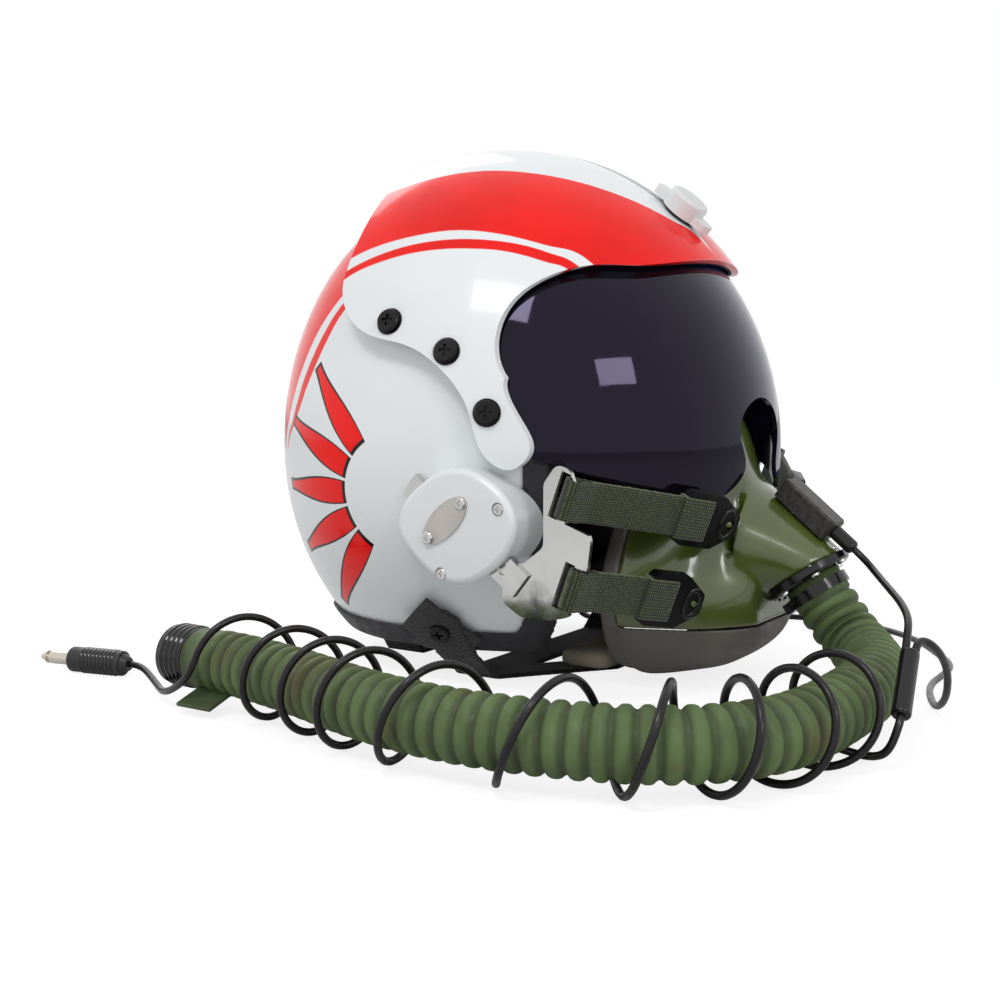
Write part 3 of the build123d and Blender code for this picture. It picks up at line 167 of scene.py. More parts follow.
splitter_start = place(-77, -237, 40)
splitter_end = place(-100, -241, 20)
splitter_heading = (splitter_end - splitter_start).normalized()
plug_heading = Vector((-11, 50, 0)).normalized()
comm_route = [splitter_end, splitter_end + splitter_heading * 0.0032]
comm_route += [place(-107, -239, 7.5), place(-102, -231, 3)]
winding_steps = int(19.5 * steps_a_half_turn)
comm_route += [winding_place(step / steps_a_half_turn) for step in range(winding_steps + 1)]
comm_route += [place(*point) for point in (
    (-191, 44, 13.4), (-184, 62, 5.2), (-169, 83, 4.2), (-156, 104, 5.6), (-153.2, 114, 6.1))]
comm_route.append(comm_route[-1] + plug_heading * 0.0032)
comm_cord = smooth_route("comm_lead", comm_route, 0.0016)
comm_length = length_of(line_of(comm_route))
print("comm cord", round(comm_length, 4), "points", len(comm_route))

# %% [markdown]
# ## The two short cords of the splitter
# One cord comes from the microphone's plug, the other goes over the floor and up into the left ear cup. Both lie
# where gravity puts them, so their routes are a few listed points: straight out of the fitting, down in a sag,
# and along the floor.

# %% Microphone cord and branch cord
across_splitter = splitter_heading.cross(up).normalized()
mic_slope = math.radians(39.5)
mic_slant = Vector((0, -math.cos(mic_slope), -math.sin(mic_slope)))
mic_up = Vector((0, -math.sin(mic_slope), math.cos(mic_slope)))
mic_start = place(0, -187.6, 67.2)
mic_end = splitter_start + across_splitter * 0.0019
mic_route = [mic_start, place(0, -193.0, 62.7), place(-9, -201, 58.5), place(-26, -212, 55.5),
             place(-44, -223, 53), place(-60, -231, 50), mic_end - splitter_heading * 0.008,
             mic_end]
mic_cord = smooth_route("mic_lead", mic_route, 0.0016)
mic_length = length_of(line_of(mic_route))
branch_start = splitter_start - across_splitter * 0.0019
branch_route = [branch_start, branch_start - splitter_heading * 0.007]
branch_route += [place(*point) for point in (
    (-64, -243, 41), (-48, -244, 29), (-33, -240, 13), (-15, -231, 3), (9, -221, 1.7),
    (34, -214, 1.7), (58, -214, 1.7), (80, -212, 1.7), (103, -198, 1.7), (128, -182, 1.7),
    (150, -158, 1.7), (161, -128, 1.7), (158, -96, 1.7), (146, -68, 1.7), (129, -38, 1.7),
    (108, -14, 1.7), (86, -2, 1.7), (69.5, -2, 12), (69.5, -2, 31.2))]
branch_cord = smooth_route("branch_lead", branch_route, 0.0016)
branch_length = length_of(line_of(branch_route))
print("mic cord", round(mic_length, 4), "branch cord", round(branch_length, 4))

# %% [markdown]
# ## The ribbed hose
# The real hose is moulded rubber with thick round ribs and a plain cuff at each end. Its
# profile, spun once round, gives a straight hose. Each ring is then set square on the smooth
# line, which is how a curve modifier bends a mesh, but here the ribs keep their pitch.

# %% Ribbed hose
rib_count = 57
cuff = 0.012
hose_length = length_of(hose_line)
rib_pitch = (hose_length - 2 * cuff) / rib_count


def hose_profile():
    """Radius against length: a cuff, the ribs and a cuff."""
    outline = [(0.0129, 0), (0.0134, 0.0006), (0.0134, cuff - 0.0012)]
    for rib in range(rib_count):
        start = cuff + rib * rib_pitch
        for share, height in ((0.02, 0), (0.14, 0.28), (0.28, 0.82), (0.4, 0.98), (0.52, 1),
                              (0.66, 0.96), (0.78, 0.72), (0.9, 0.2)):
            outline.append((0.0121 + 0.0019 * height, start + share * rib_pitch))
    end = hose_length
    outline += [(0.0134, end - cuff + 0.0012), (0.0134, end - 0.0006), (0.0129, end)]
    outline += [(0.0098, end * (1 - step / rib_count)) for step in range(rib_count + 1)]
    return outline


def bend_along(mesh_points, line):
    """Set points of a straight tube on Z square on a line."""
    for vertex in mesh_points:
        distance = max(vertex.co.z, 0.00001)
        origin, heading = at_length(line, distance)
        side = heading.cross(up).normalized()
        vertex.co = origin + side * vertex.co.x + side.cross(heading) * vertex.co.y


form = bmesh.new()
rim = [form.verts.new((radius, 0, height)) for radius, height in hose_profile()]
for a, b in zip(rim, rim[1:] + rim[:1]):
    form.edges.new((a, b))
bmesh.ops.spin(form, geom=form.verts[:] + form.edges[:], cent=(0, 0, 0), axis=(0, 0, 1),
               angle=math.tau, steps=40, use_merge=True)
bmesh.ops.remove_doubles(form, verts=form.verts, dist=0.00001)
hose_coordinates = form.verts.layers.float_vector.new("hose_place")
for vertex in form.verts:
    vertex[hose_coordinates] = (math.atan2(vertex.co.y, vertex.co.x) / math.tau,
                                vertex.co.z, math.hypot(vertex.co.x, vertex.co.y))
bend_along(form.verts, hose_line)
bmesh.ops.recalc_face_normals(form, faces=form.faces)
hose_mesh = bpy.data.meshes.new("ribbed_hose")
form.to_mesh(hose_mesh)
form.free()
for face in hose_mesh.polygons:
    face.use_smooth = True
ribbed_hose = bpy.data.objects.new("ribbed_hose", hose_mesh)
bpy.context.scene.collection.objects.link(ribbed_hose)
print("hose faces", len(hose_mesh.polygons), "length", round(hose_length, 4))

# %% [markdown]
# ## Finishes
# No real surface has one flat colour. Every finish here starts from the same small graph:
# broad noise varies the tone, finer noise varies the roughness, and the finest gives relief.
# The patterns read object coordinates, so they stay on the piece when it moves.


# %% Helpers for node graphs
def ink(red, green, blue):
    """A display colour from 0 to 255 as the linear colour that shaders take."""
    shares = [channel / 255 for channel in (red, green, blue)]
    linear = [s / 12.92 if s <= 0.04045 else ((s + 0.055) / 1.055) ** 2.4 for s in shares]
    return (*linear, 1.0)


class Graph:
    """A material with its shader, and short ways to add and join nodes."""

    def __init__(self, name):
        self.material = bpy.data.materials.new(name)
        self.material.use_nodes = True
        self.tree = self.material.node_tree
        self.shader = self.tree.nodes["Principled BSDF"]
        self.surface = self.add("TexCoord")
        self.place = self.surface.outputs["Object"]

    def add(self, kind, **values):
        node = self.tree.nodes.new("ShaderNode" + kind)
        for key, value in values.items():
            setattr(node, key, value)
        return node

    def join(self, source, socket):
        if isinstance(source, bpy.types.NodeSocket):
            self.tree.links.new(source, socket)
        else:
            socket.default_value = source

    def sum(self, operation, *parts):
        node = self.add("Math", operation=operation)
        for part, socket in zip(parts, node.inputs):
            self.join(part, socket)
        return node.outputs[0]

    def noise(self, scale, detail=3.0, place=None):
        node = self.add("TexNoise")
        self.join(place or self.place, node.inputs["Vector"])
        node.inputs["Scale"].default_value = scale
        node.inputs["Detail"].default_value = detail
        return node.outputs["Fac"]

    def cells(self, scale, feature="F1", place=None):
        node = self.add("TexVoronoi", feature=feature)
        self.join(place or self.place, node.inputs["Vector"])
        node.inputs["Scale"].default_value = scale
        return node.outputs["Distance"]

    def spread(self, value, low, high, new_low=0.0, new_high=1.0):
        node = self.add("MapRange", interpolation_type="SMOOTHSTEP")
        for part, socket in zip((value, low, high, new_low, new_high), node.inputs):
            self.join(part, socket)
        return node.outputs[0]

    def blend(self, share, first, second):
        node = self.add("Mix", data_type="RGBA")
        self.join(share, node.inputs[0])
        self.join(first, node.inputs[6])
        self.join(second, node.inputs[7])
        return node.outputs[2]

    def axes(self, place=None):
        node = self.add("SeparateXYZ")
        self.join(place or self.place, node.inputs[0])
        return node.outputs

    def relief(self, height, depth, strength=1.0, before=None):
        node = self.add("Bump")
        node.inputs["Strength"].default_value = strength
        node.inputs["Distance"].default_value = depth
        self.join(height, node.inputs["Height"])
        if before:
            self.join(before, node.inputs["Normal"])
        return node.outputs["Normal"]

    def set(self, **values):
        for key, value in values.items():
            self.join(value, self.shader.inputs[key.replace("_", " ")])


def finish(name, colour, roughness, tone=0.12, tone_scale=30, rough_spread=0.1,
           grain=0.00004, grain_scale=1500, **values):
    """A finish with noise in its tone, roughness and relief; the graph can be added to."""
    graph = Graph(name)
    dark = tuple(channel * (1 - tone) for channel in colour[:3]) + (1.0,)
    light = tuple(min(channel * (1 + tone), 1) for channel in colour[:3]) + (1.0,)
    graph.colour = graph.blend(graph.spread(graph.noise(tone_scale), 0.3, 0.7), dark, light)
    graph.normal = graph.relief(graph.noise(grain_scale, 2.0), grain)
    rough = graph.spread(graph.noise(tone_scale * 5), 0.3, 0.7,
                         max(roughness - rough_spread, 0.02), min(roughness + rough_spread, 1))
    graph.set(Base_Color=graph.colour, Roughness=rough, Normal=graph.normal, **values)
    return graph


# %% [markdown]
# ### Painted cover and shell
# The helmet is white gloss paint with a wide and a narrow red stripe on each side. The
# stripes follow the curve of the dome, so each edge is drawn as a curve of the distance from
# the middle against the angle round the ear-to-ear axis. A curve node holds each edge.

# %% Stripes
white_paint = ink(236, 240, 242)
red_paint = ink(250, 16, 8)
stripe_edges = {
    "wide upper": ((36, .0), (43, .02), (47, .10), (52, .18), (60, .28), (70, .37), (80, .435),
                   (90, .495), (99, .535), (112, .560), (126, .585), (145, .620), (165, .680),
                   (180, .760)),
    "wide lower": ((45, .551), (54, .614), (62, .654), (73, .697), (85, .740), (104, .780),
                   (112, .795), (126, .815), (145, .825), (165, .805), (180, .765)),
    "narrow upper": ((45, .590), (52, .628), (69, .714), (87, .776), (103, .811),
                     (112, .825), (126, .852), (145, .862), (165, .845), (180, .800)),
    "narrow lower": ((45, .614), (50, .646), (59, .693), (69, .740), (87, .795), (104, .827),
                     (112, .845), (126, .876), (145, .884), (165, .862), (180, .803)),
}


def edge_curve(graph, angle, edge):
    """The share of the half width at which a stripe's edge lies for an angle."""
    node = graph.add("FloatCurve")
    curve = node.mapping.curves[0]
    curve.points[0].location = (0, edge[0][1])
    curve.points[1].location = (1, edge[-1][1])
    for degrees, share in edge:
        curve.points.new(degrees / 180 * 0.999, share)
    node.mapping.update()
    graph.join(angle, node.inputs["Value"])
    return node.outputs[0]


def painted(name, half_width):
    """White gloss paint with the stripes, for a dome of this half width."""
    graph = finish(name, white_paint, 0.16, tone=0.015, tone_scale=18, rough_spread=0.04,
                   grain=0.00003, grain_scale=260, Coat_Weight=0.2, Coat_Roughness=0.06,
                   Specular_IOR_Level=0.15)
    x, y, z = graph.axes()
    ahead = graph.sum("MULTIPLY", graph.sum("SUBTRACT", y, dome.y), -1.0)
    above = graph.sum("SUBTRACT", z, dome.z)
    turn = graph.sum("DIVIDE", graph.sum("ARCTAN2", above, ahead), math.pi)
    share = graph.sum("DIVIDE", graph.sum("ABSOLUTE", x), half_width)
    soft = 0.002
    stripes = []
    for stripe in ("wide", "narrow"):
        inner = edge_curve(graph, turn, stripe_edges[stripe + " upper"])
        inner = graph.sum("SUBTRACT", inner, 2 * soft)
        outer = edge_curve(graph, turn, stripe_edges[stripe + " lower"])
        above_inner = graph.spread(graph.sum("SUBTRACT", share, inner), -soft, soft)
        below_outer = graph.spread(graph.sum("SUBTRACT", outer, share), -soft, soft)
        stripes.append(graph.sum("MULTIPLY", above_inner, below_outer))
    both = graph.sum("MAXIMUM", *stripes)
    both = graph.sum("MULTIPLY", both, graph.spread(turn, 0.2, 0.21))
    from_middle = graph.add("VectorMath", operation="SUBTRACT")
    graph.join(graph.place, from_middle.inputs[0])
    from_middle.inputs[1].default_value = dome
    outward = graph.add("VectorMath", operation="DOT_PRODUCT")
    graph.join(from_middle.outputs[0], outward.inputs[0])
    graph.join(graph.surface.outputs["Normal"], outward.inputs[1])
    graph.outside = graph.spread(outward.outputs["Value"], -0.085, -0.075)
    graph.mark = graph.sum("MULTIPLY", both, graph.outside)
    red = graph.blend(graph.spread(graph.noise(25), 0.3, 0.7), ink(234, 14, 8), red_paint)
    graph.colour = graph.blend(graph.mark, graph.colour, red)
    graph.set(Base_Color=graph.colour)
    return graph


cover_paint = painted("cover_paint", 0.127)
shell_paint = painted("shell_paint", 0.117)
print("stripe edges", len(stripe_edges))

# %% [markdown]
# ### A decoration for the shell's side
# The side of the shell carries a decoration in the stripes' red with thin black edges. Here
# it is a plain fan of tapered bars that opens towards the back, drawn in polar coordinates
# about a point above the ear. It is paint, so it only changes the colour of the finish.

# %% Fan of bars on the shell
_, fan_y, fan_z = shell_paint.axes()
from_y = shell_paint.sum("SUBTRACT", fan_y, shift - 0.014)
from_z = shell_paint.sum("SUBTRACT", fan_z, 0.092)
fan_reach = shell_paint.sum(
    "SQRT", shell_paint.sum("ADD", shell_paint.sum("MULTIPLY", from_y, from_y),
                            shell_paint.sum("MULTIPLY", from_z, from_z)))
fan_angle = shell_paint.sum("ARCTAN2", from_z, from_y)
bar_step = math.radians(24)
bar_phase = shell_paint.sum("FRACT", shell_paint.sum(
    "ADD", shell_paint.sum("DIVIDE", fan_angle, bar_step), 0.5))
from_bar = shell_paint.sum("ABSOLUTE", shell_paint.sum("SUBTRACT", bar_phase, 0.5))
bar_width = shell_paint.spread(fan_reach, 0.026, 0.078, 0.40, 0.05)
in_bar = shell_paint.spread(shell_paint.sum("SUBTRACT", bar_width, from_bar), -0.01, 0.01)
in_edge = shell_paint.spread(
    shell_paint.sum("SUBTRACT", shell_paint.sum("ADD", bar_width, 0.045), from_bar), -0.01, 0.01)
in_fan = shell_paint.sum(
    "MULTIPLY", shell_paint.spread(fan_reach, 0.0275, 0.0280),
    shell_paint.spread(fan_reach, 0.0780, 0.0775))
in_fan = shell_paint.sum("MULTIPLY", in_fan, shell_paint.spread(
    shell_paint.sum("ABSOLUTE", fan_angle), bar_step * 2.5, bar_step * 2.49))
in_fan = shell_paint.sum("MULTIPLY", in_fan, shell_paint.outside)
bar_edge = shell_paint.sum("MULTIPLY", in_edge, in_fan)
bar_red = shell_paint.sum("MULTIPLY", in_bar, shell_paint.sum(
    "MULTIPLY", in_fan, shell_paint.sum(
        "MULTIPLY", shell_paint.spread(fan_reach, 0.0295, 0.0300),
        shell_paint.spread(fan_reach, 0.0765, 0.0760))))
fan_colour = shell_paint.blend(bar_edge, shell_paint.colour, ink(32, 28, 30))
fan_colour = shell_paint.blend(bar_red, fan_colour, red_paint)
shell_paint.set(Base_Color=fan_colour)
print("bars in the fan", 5)

# %% [markdown]
# ### Moulded, cast and turned finishes
# The hard pieces differ mostly in gloss and in the size of their grain: gloss castings,
# matte plastic, blackened screws, polished chrome and a brushed plate.

# %% Hard finishes
casting = finish("white_casting", ink(236, 239, 242), 0.24, tone=0.01, rough_spread=0.02,
                 grain=0.00004, grain_scale=420, Coat_Weight=0.4, Coat_Roughness=0.1)
knob_plastic = finish("knob_plastic", ink(226, 228, 228), 0.55, tone=0.03, grain=0.00008,
                      grain_scale=1800)
black_plastic = finish("black_plastic", ink(30, 30, 32), 0.42, tone=0.2, grain=0.00006,
                       grain_scale=2200)
black_gloss = finish("gloss_black_rubber", ink(17, 16, 18), 0.14, tone=0.15, tone_scale=50,
                     rough_spread=0.05, grain=0.00001, grain_scale=500, Coat_Weight=0.3,
                     Coat_Roughness=0.08, Specular_IOR_Level=0.3)
cast_grey = finish("cast_grey", ink(62, 60, 58), 0.42, tone=0.35, tone_scale=420,
                   grain=0.00008, grain_scale=900, Metallic=0.55)
black_metal = finish("blackened_steel", ink(36, 35, 36), 0.34, tone=0.25, grain=0.00003,
                     grain_scale=1400, Metallic=0.75)
chrome = finish("polished_chrome", ink(214, 214, 212), 0.13, tone=0.04, rough_spread=0.05,
                grain=0.00001, grain_scale=500, Metallic=1.0)
# Painted reflection: the chrome's colour turns darker where its surface turns away from the camera.
chrome_painted_reflection = chrome.add("LayerWeight")
chrome_painted_reflection.inputs["Blend"].default_value = 0.4
chrome.set(Base_Color=chrome.blend(chrome.spread(chrome_painted_reflection.outputs["Facing"], 0.25, 0.95),
                                   chrome.colour, ink(92, 88, 86)))
jack_metal = finish("jack_metal", ink(206, 200, 188), 0.2, tone=0.06, grain=0.00001,
                    grain_scale=900, Metallic=1.0)
plate_metal = finish("brushed_plate", ink(196, 191, 186), 0.38, tone=0.08, tone_scale=60,
                     grain=0.00001, grain_scale=700, Metallic=0.65)
brushing = plate_metal.add("Mapping")
plate_metal.join(plate_metal.place, brushing.inputs["Vector"])
brushing.inputs["Rotation"].default_value = (math.radians(43), 0, 0)
brushing.inputs["Scale"].default_value = (1, 0.04, 1)
plate_lines = plate_metal.noise(5200, 2.0, brushing.outputs[0])
plate_metal.set(Normal=plate_metal.relief(plate_lines, 0.00003, before=plate_metal.normal))
rubber = finish("black_rubber", ink(28, 28, 30), 0.7, tone=0.2, grain=0.0001, grain_scale=900)
foam = finish("energy_foam", ink(214, 214, 210), 0.85, tone=0.05, grain=0.00005)
foam_beads = foam.cells(320, "DISTANCE_TO_EDGE")
foam.set(Normal=foam.relief(foam.spread(foam_beads, 0, 0.12), 0.0002, before=foam.normal))

smoke = finish("smoke_visor", ink(22, 17, 30), 0.05, tone=0.1, rough_spread=0.02,
               grain=0.000004, grain_scale=90, Coat_Weight=0.15, Coat_Roughness=0.02,
               Transmission_Weight=0.4, IOR=1.38, Specular_IOR_Level=0.4,
               Specular_Tint=ink(194, 182, 238))
# Painted reflection: the lens's colour turns blue towards its rim, where its surface turns away from the camera.
rim_painted_reflection = smoke.add("LayerWeight")
rim_painted_reflection.inputs["Blend"].default_value = 0.32
smoke_colour = smoke.blend(smoke.spread(rim_painted_reflection.outputs["Facing"], 0.3, 0.95),
                           smoke.colour, ink(52, 48, 120))
smoke.set(Base_Color=smoke_colour)
print("hard finishes", 10)

# %% [markdown]
# ### Leather, rubber and cloth
# The edge roll and ear seals are covered in thin leather with a cell-like grain. The mask is
# a glossy green moulding whose lower part is grey rubber. Webbing is woven, so its finish
# reads a UV map that is measured along and across each strap.

# %% Soft finishes


def leather(name, colour, roughness, grain_scale=700):
    graph = finish(name, colour, roughness, tone=0.18, grain=0.00002)
    creases = graph.spread(graph.cells(grain_scale, "DISTANCE_TO_EDGE"), 0, 0.14)
    folds = graph.noise(90, 5.0)
    normal = graph.relief(creases, 0.00012, before=graph.normal)
    graph.set(Normal=graph.relief(folds, 0.0004, before=normal))
    return graph


roll_leather = leather("edge_roll_leather", ink(36, 35, 40), 0.5)
seal_leather = leather("ear_seal_leather", ink(34, 33, 36), 0.42)
pad_leather = leather("chin_leather", ink(198, 188, 168), 0.6, 520)

mask_skin = finish("mask_moulding", ink(78, 90, 36), 0.24, tone=0.14, tone_scale=24,
                   grain=0.00005, grain_scale=230, Coat_Weight=0.8, Coat_Roughness=0.09)
_, _, mask_height = mask_skin.axes()
seam_wave = mask_skin.sum("MULTIPLY", mask_skin.noise(30, 1.0), 0.003)
over_seam = mask_skin.spread(mask_skin.sum("SUBTRACT", mask_height, seam_wave),
                             0.0296, 0.0303)
grey_tone = mask_skin.blend(mask_skin.spread(mask_skin.noise(60), 0.3, 0.7),
                            ink(90, 84, 79), ink(106, 100, 94))
mask_skin.colour = mask_skin.blend(over_seam, grey_tone, mask_skin.colour)
mask_skin.set(Base_Color=mask_skin.colour,
              Roughness=mask_skin.spread(over_seam, 0, 1, 0.5, 0.24))
face_rubber = finish("face_seal_rubber", ink(96, 91, 86), 0.48, tone=0.1, grain=0.0001,
                     grain_scale=600)


def woven(name, colour, fleck_and_highlight, pick, roughness=0.8, fleck_share=0.5):
    """A plain weave on the piece's own UV map, with lighter yarns here and there; its crests carry a painted
    highlight and its hollows a painted shade.
    """
    graph = finish(name, colour, roughness, tone=0.15, tone_scale=120, grain=0.00003,
                   Sheen_Weight=0.3, Sheen_Roughness=0.5)
    cloth = graph.add("UVMap", uv_map="cloth").outputs[0]
    along, across, _ = graph.axes(cloth)
    warp = graph.sum("SINE", graph.sum("MULTIPLY", along, math.tau / pick))
    weft = graph.sum("SINE", graph.sum("MULTIPLY", across, math.tau / pick / 0.8))
    weave = graph.sum("ADD", warp, weft)
    height = graph.spread(weave, -1.6, 1.6)
    yarn = graph.noise(1 / pick / 2, 1.0, cloth)
    # Partly painted highlight: the weave's crests take the fleck colour, fully where the yarn noise marks a
    # lighter yarn and partly elsewhere.
    lit = graph.sum("MULTIPLY", graph.spread(weave, 0.4, 1.5),
                    graph.spread(yarn, fleck_share - 0.2, fleck_share + 0.1, 0.35, 1.0))
    graph.colour = graph.blend(lit, graph.colour, fleck_and_highlight)
    # Painted shade: the hollows of the weave are darkened towards black.
    black = (0.004, 0.004, 0.004, 1)
    shade = graph.blend(graph.spread(weave, -1.6, 0, 0.6, 0), graph.colour, black)
    graph.set(Base_Color=shade, Normal=graph.relief(height, pick * 0.22, before=graph.normal))
    return graph


olive_webbing = woven("olive_webbing", ink(32, 42, 20), ink(98, 116, 62), 0.0014)
black_webbing = woven("black_webbing", ink(15, 14, 15), ink(36, 35, 36), 0.0014)
violet_cloth = woven("violet_lining", ink(70, 65, 112), ink(108, 102, 150), 0.0008)
grey_cloth = woven("pad_cloth", ink(62, 62, 66), ink(96, 96, 100), 0.0012)

hose_rubber = finish("hose_rubber", ink(84, 104, 60), 0.62, tone=0.2, tone_scale=45,
                     grain=0.00015, grain_scale=420)
stains = hose_rubber.spread(hose_rubber.noise(38, 6.0), 0.52, 0.72)
hose_rubber.colour = hose_rubber.blend(
    hose_rubber.sum("MULTIPLY", stains, 0.55), hose_rubber.colour, ink(92, 74, 46))
# Painted shade: the colour darkens in the valleys between the ribs and inside the hose, read from each point's
# distance to the hose's axis.
hose_place = hose_rubber.add("Attribute", attribute_name="hose_place").outputs["Vector"]
_, _, hose_out = hose_rubber.axes(hose_place)
painted_valley_shade = hose_rubber.spread(hose_out, 0.0140, 0.0122, 0, 0.6)
hose_rubber.colour = hose_rubber.blend(painted_valley_shade, hose_rubber.colour, ink(34, 42, 24))
hose_rubber.set(Base_Color=hose_rubber.colour)

cord_skin = finish("cord_jacket", ink(24, 21, 23), 0.26, tone=0.12, tone_scale=60,
                   grain=0.000004, grain_scale=900, Coat_Weight=0.1, Coat_Roughness=0.15,
                   Specular_IOR_Level=0.3)
print("soft finishes", 12)

# %% [markdown]
# ## Hard pieces take their finish
# The CAD pieces keep their shape and place. Each one only gets the material that the real
# piece has, through its own material slots.

# %% Finishes of the CAD pieces
both_sides = ("_right", "_left")
hard_pieces = {
    cover_paint: ["visor_cover"],
    shell_paint: ["shell"],
    casting: ["receiver" + side for side in both_sides],
    plate_metal: ["label_plate" + side for side in both_sides],
    knob_plastic: ["visor_knob"],
    smoke: ["visor_lens"],
    foam: ["energy_liner"],
    rubber: ["knob_gasket", "cover_trim", "valve_disc", "ear_spacers"],
    black_gloss: ["mic_plug", "port_flange", "cord_junction", "hose_clamp"],
    cast_grey: ["mic_connector"],
    black_plastic: ["microphone", "valve_body", "plug_body", "visor_slider", "hose_connector",
                    *["ear_cup" + side for side in both_sides],
                    *["earphone" + side for side in both_sides]],
    black_metal: ["cover_screws", "strap_screws", "upper_buckles",
                  "lower_buckles"],
    chrome: ["cover_spacers", "receiver_screws", "port_screws", *["release_lever" + side for side in both_sides],
             *["bayonet_bracket" + side for side in both_sides]],
    jack_metal: ["plug_pin"],
}
for graph, names in hard_pieces.items():
    for name in names:
        slots = nodes[name].material_slots
        for holder in slots:
            holder.material = graph.material
print("pieces with a hard finish", sum(len(names) for names in hard_pieces.values()))

# %% [markdown]
# ## Soft pieces
# A soft piece starts from a copy of its CAD solid. The copy is merged, rebuilt in even small
# cells by a voxel remesh, and smoothed, which rounds its edges the way rubber and webbing
# are rounded. Pads are then blown up a little by a cloth simulation.


# %% Helpers for soft pieces
def evaluated(obj):
    """The piece's mesh with its modifiers applied."""
    bpy.context.view_layer.update()
    depsgraph = bpy.context.evaluated_depsgraph_get()
    return bpy.data.meshes.new_from_object(obj.evaluated_get(depsgraph))


def settle(obj):
    """Apply all modifiers."""
    mesh = evaluated(obj)
    obj.modifiers.clear()
    obj.data = mesh
    for face in mesh.polygons:
        face.use_smooth = True


def copy_of(node, name):
    """A merged copy of a CAD node."""
    form = bmesh.new()
    form.from_mesh(nodes[node].data)
    bmesh.ops.remove_doubles(form, verts=form.verts, dist=0.00001)
    mesh = bpy.data.meshes.new(name)
    form.to_mesh(mesh)
    form.free()
    mesh.materials.clear()
    copy = bpy.data.objects.new(name, mesh)
    bpy.context.scene.collection.objects.link(copy)
    return copy


def soften(obj, voxel, rounds, factor=0.5):
    """Rebuild a mesh in even cells and smooth it."""
    remesh = obj.modifiers.new("even cells", "REMESH")
    remesh.mode = "VOXEL"
    remesh.voxel_size = voxel
    smooth = obj.modifiers.new("rounding", "SMOOTH")
    smooth.factor = factor
    smooth.iterations = rounds
    settle(obj)


def lay_cloth(obj):
    """A UV map in metres along and across the piece's two longest directions."""
    import numpy
    count = len(obj.data.vertices)
    flat = numpy.zeros(count * 3)
    obj.data.vertices.foreach_get("co", flat)
    spots = flat.reshape(count, 3)
    spots = spots - spots.mean(0)
    _, _, turned = numpy.linalg.svd(spots[::max(count // 4000, 1)], full_matrices=False)
    laid = spots @ turned[:2].T
    layer = obj.data.uv_layers.new(name="cloth")
    for loop in obj.data.loops:
        layer.data[loop.index].uv = laid[loop.vertex_index]


def dress(obj, graph, body, slot, *replaced):
    """Finish, body and CAD nodes of a new piece; the slot is not used."""
    obj.data.materials.append(graph.material)
    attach(obj, body)
    if replaced:
        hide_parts(*replaced)


def puff(obj, cap, pressure=4.0):
    """Blow a closed pad up like a filled cover, moving no point further than the cap."""
    rest = [vertex.co.copy() for vertex in obj.data.vertices]
    cloth = obj.modifiers.new("filling", "CLOTH")
    cloth.settings.use_pressure = True
    cloth.settings.uniform_pressure_force = pressure
    cloth.settings.effector_weights.gravity = 0
    cloth.settings.quality = 5
    cloth.point_cache.frame_start = 1
    cloth.point_cache.frame_end = 20
    for step in range(1, 21):
        bpy.context.scene.frame_set(step)
    settle(obj)
    for vertex, start in zip(obj.data.vertices, rest):
        move = vertex.co - start
        if move.length > cap:
            vertex.co = start + move.normalized() * cap
    bpy.context.scene.frame_set(1)


# %% Straps and webbing
strap_nodes = {
    "upper_strap_right": ("mask", olive_webbing), "upper_strap_left": ("mask", olive_webbing),
    "lower_strap_right": ("mask", olive_webbing), "lower_strap_left": ("mask", olive_webbing),
    "chin_strap": ("helmet", black_webbing), "nape_strap": ("helmet", black_webbing),
}
for node, (body, graph) in strap_nodes.items():
    strap = copy_of(node, node + "_webbing")
    soften(strap, 0.0008, 4)
    lay_cloth(strap)
    dress(strap, graph, body, "webbing" if body == "mask" else "black_strap", node)
    print(strap.name, "faces", len(strap.data.polygons))

# %% [markdown]
# The end of each mask strap is folded back over its buckle and sewn. A flat bevelled sleeve
# of webbing lies over the plate there. Its place comes from the buckle itself: the normal
# of the widest face, and the direction in which the strap runs to it.

# %% Folded strap ends
fold_start = -0.002
fold_reach = 0.0145
fold_width = 0.0197
fold_cover = 0.0009
eye_inset = 0.0060
eye_long = 0.0036
eye_wide = 0.0064
eye_wire = 0.0008


def buckle_frame(buckle, side, strap):
    """Corner along, across and through one side's buckle, and those three directions."""
    mesh = nodes[buckle].data
    faces = [face for face in mesh.polygons if face.center.x * side > 0]
    widest = max(faces, key=lambda face: face.area).normal
    through = sum((face.normal * face.area for face in faces
                   if face.normal.dot(widest) > 0.999), Vector()).normalized()
    spots = [mesh.vertices[index].co for face in faces for index in face.vertices]
    strap_mid = sum((Vector(corner) for corner in nodes[strap].bound_box), Vector()) / 8
    run = sum(spots, Vector()) / len(spots) - strap_mid
    along = (run - through * run.dot(through)).normalized()
    across = through.cross(along)
    axes = (along, across, through)
    low = [min(spot.dot(axis) for spot in spots) for axis in axes]
    high = [max(spot.dot(axis) for spot in spots) for axis in axes]
    return axes, low, high


def eyelet(name, placed, wide, deep, wire):
    """An oval wire ring that lies in the plane it is placed in."""
    form = bmesh.new()
    start = Matrix.Translation((wide, 0, 0)) @ Matrix.Rotation(math.pi / 2, 4, "X")
    bmesh.ops.create_circle(form, segments=10, radius=wire, matrix=start)
    bmesh.ops.spin(form, geom=form.verts[:] + form.edges[:], cent=(0, 0, 0), axis=(0, 0, 1),
                   angle=math.tau, steps=36, use_merge=True)
    bmesh.ops.scale(form, vec=(1, deep / wide, 1), verts=form.verts)
    bmesh.ops.transform(form, matrix=placed, verts=form.verts)
    bmesh.ops.recalc_face_normals(form, faces=form.faces)
    mesh = bpy.data.meshes.new(name)
    form.to_mesh(mesh)
    form.free()
    for face in mesh.polygons:
        face.use_smooth = True
    ring = bpy.data.objects.new(name, mesh)
    bpy.context.scene.collection.objects.link(ring)
    dress(ring, black_gloss, "mask", "black_metal")


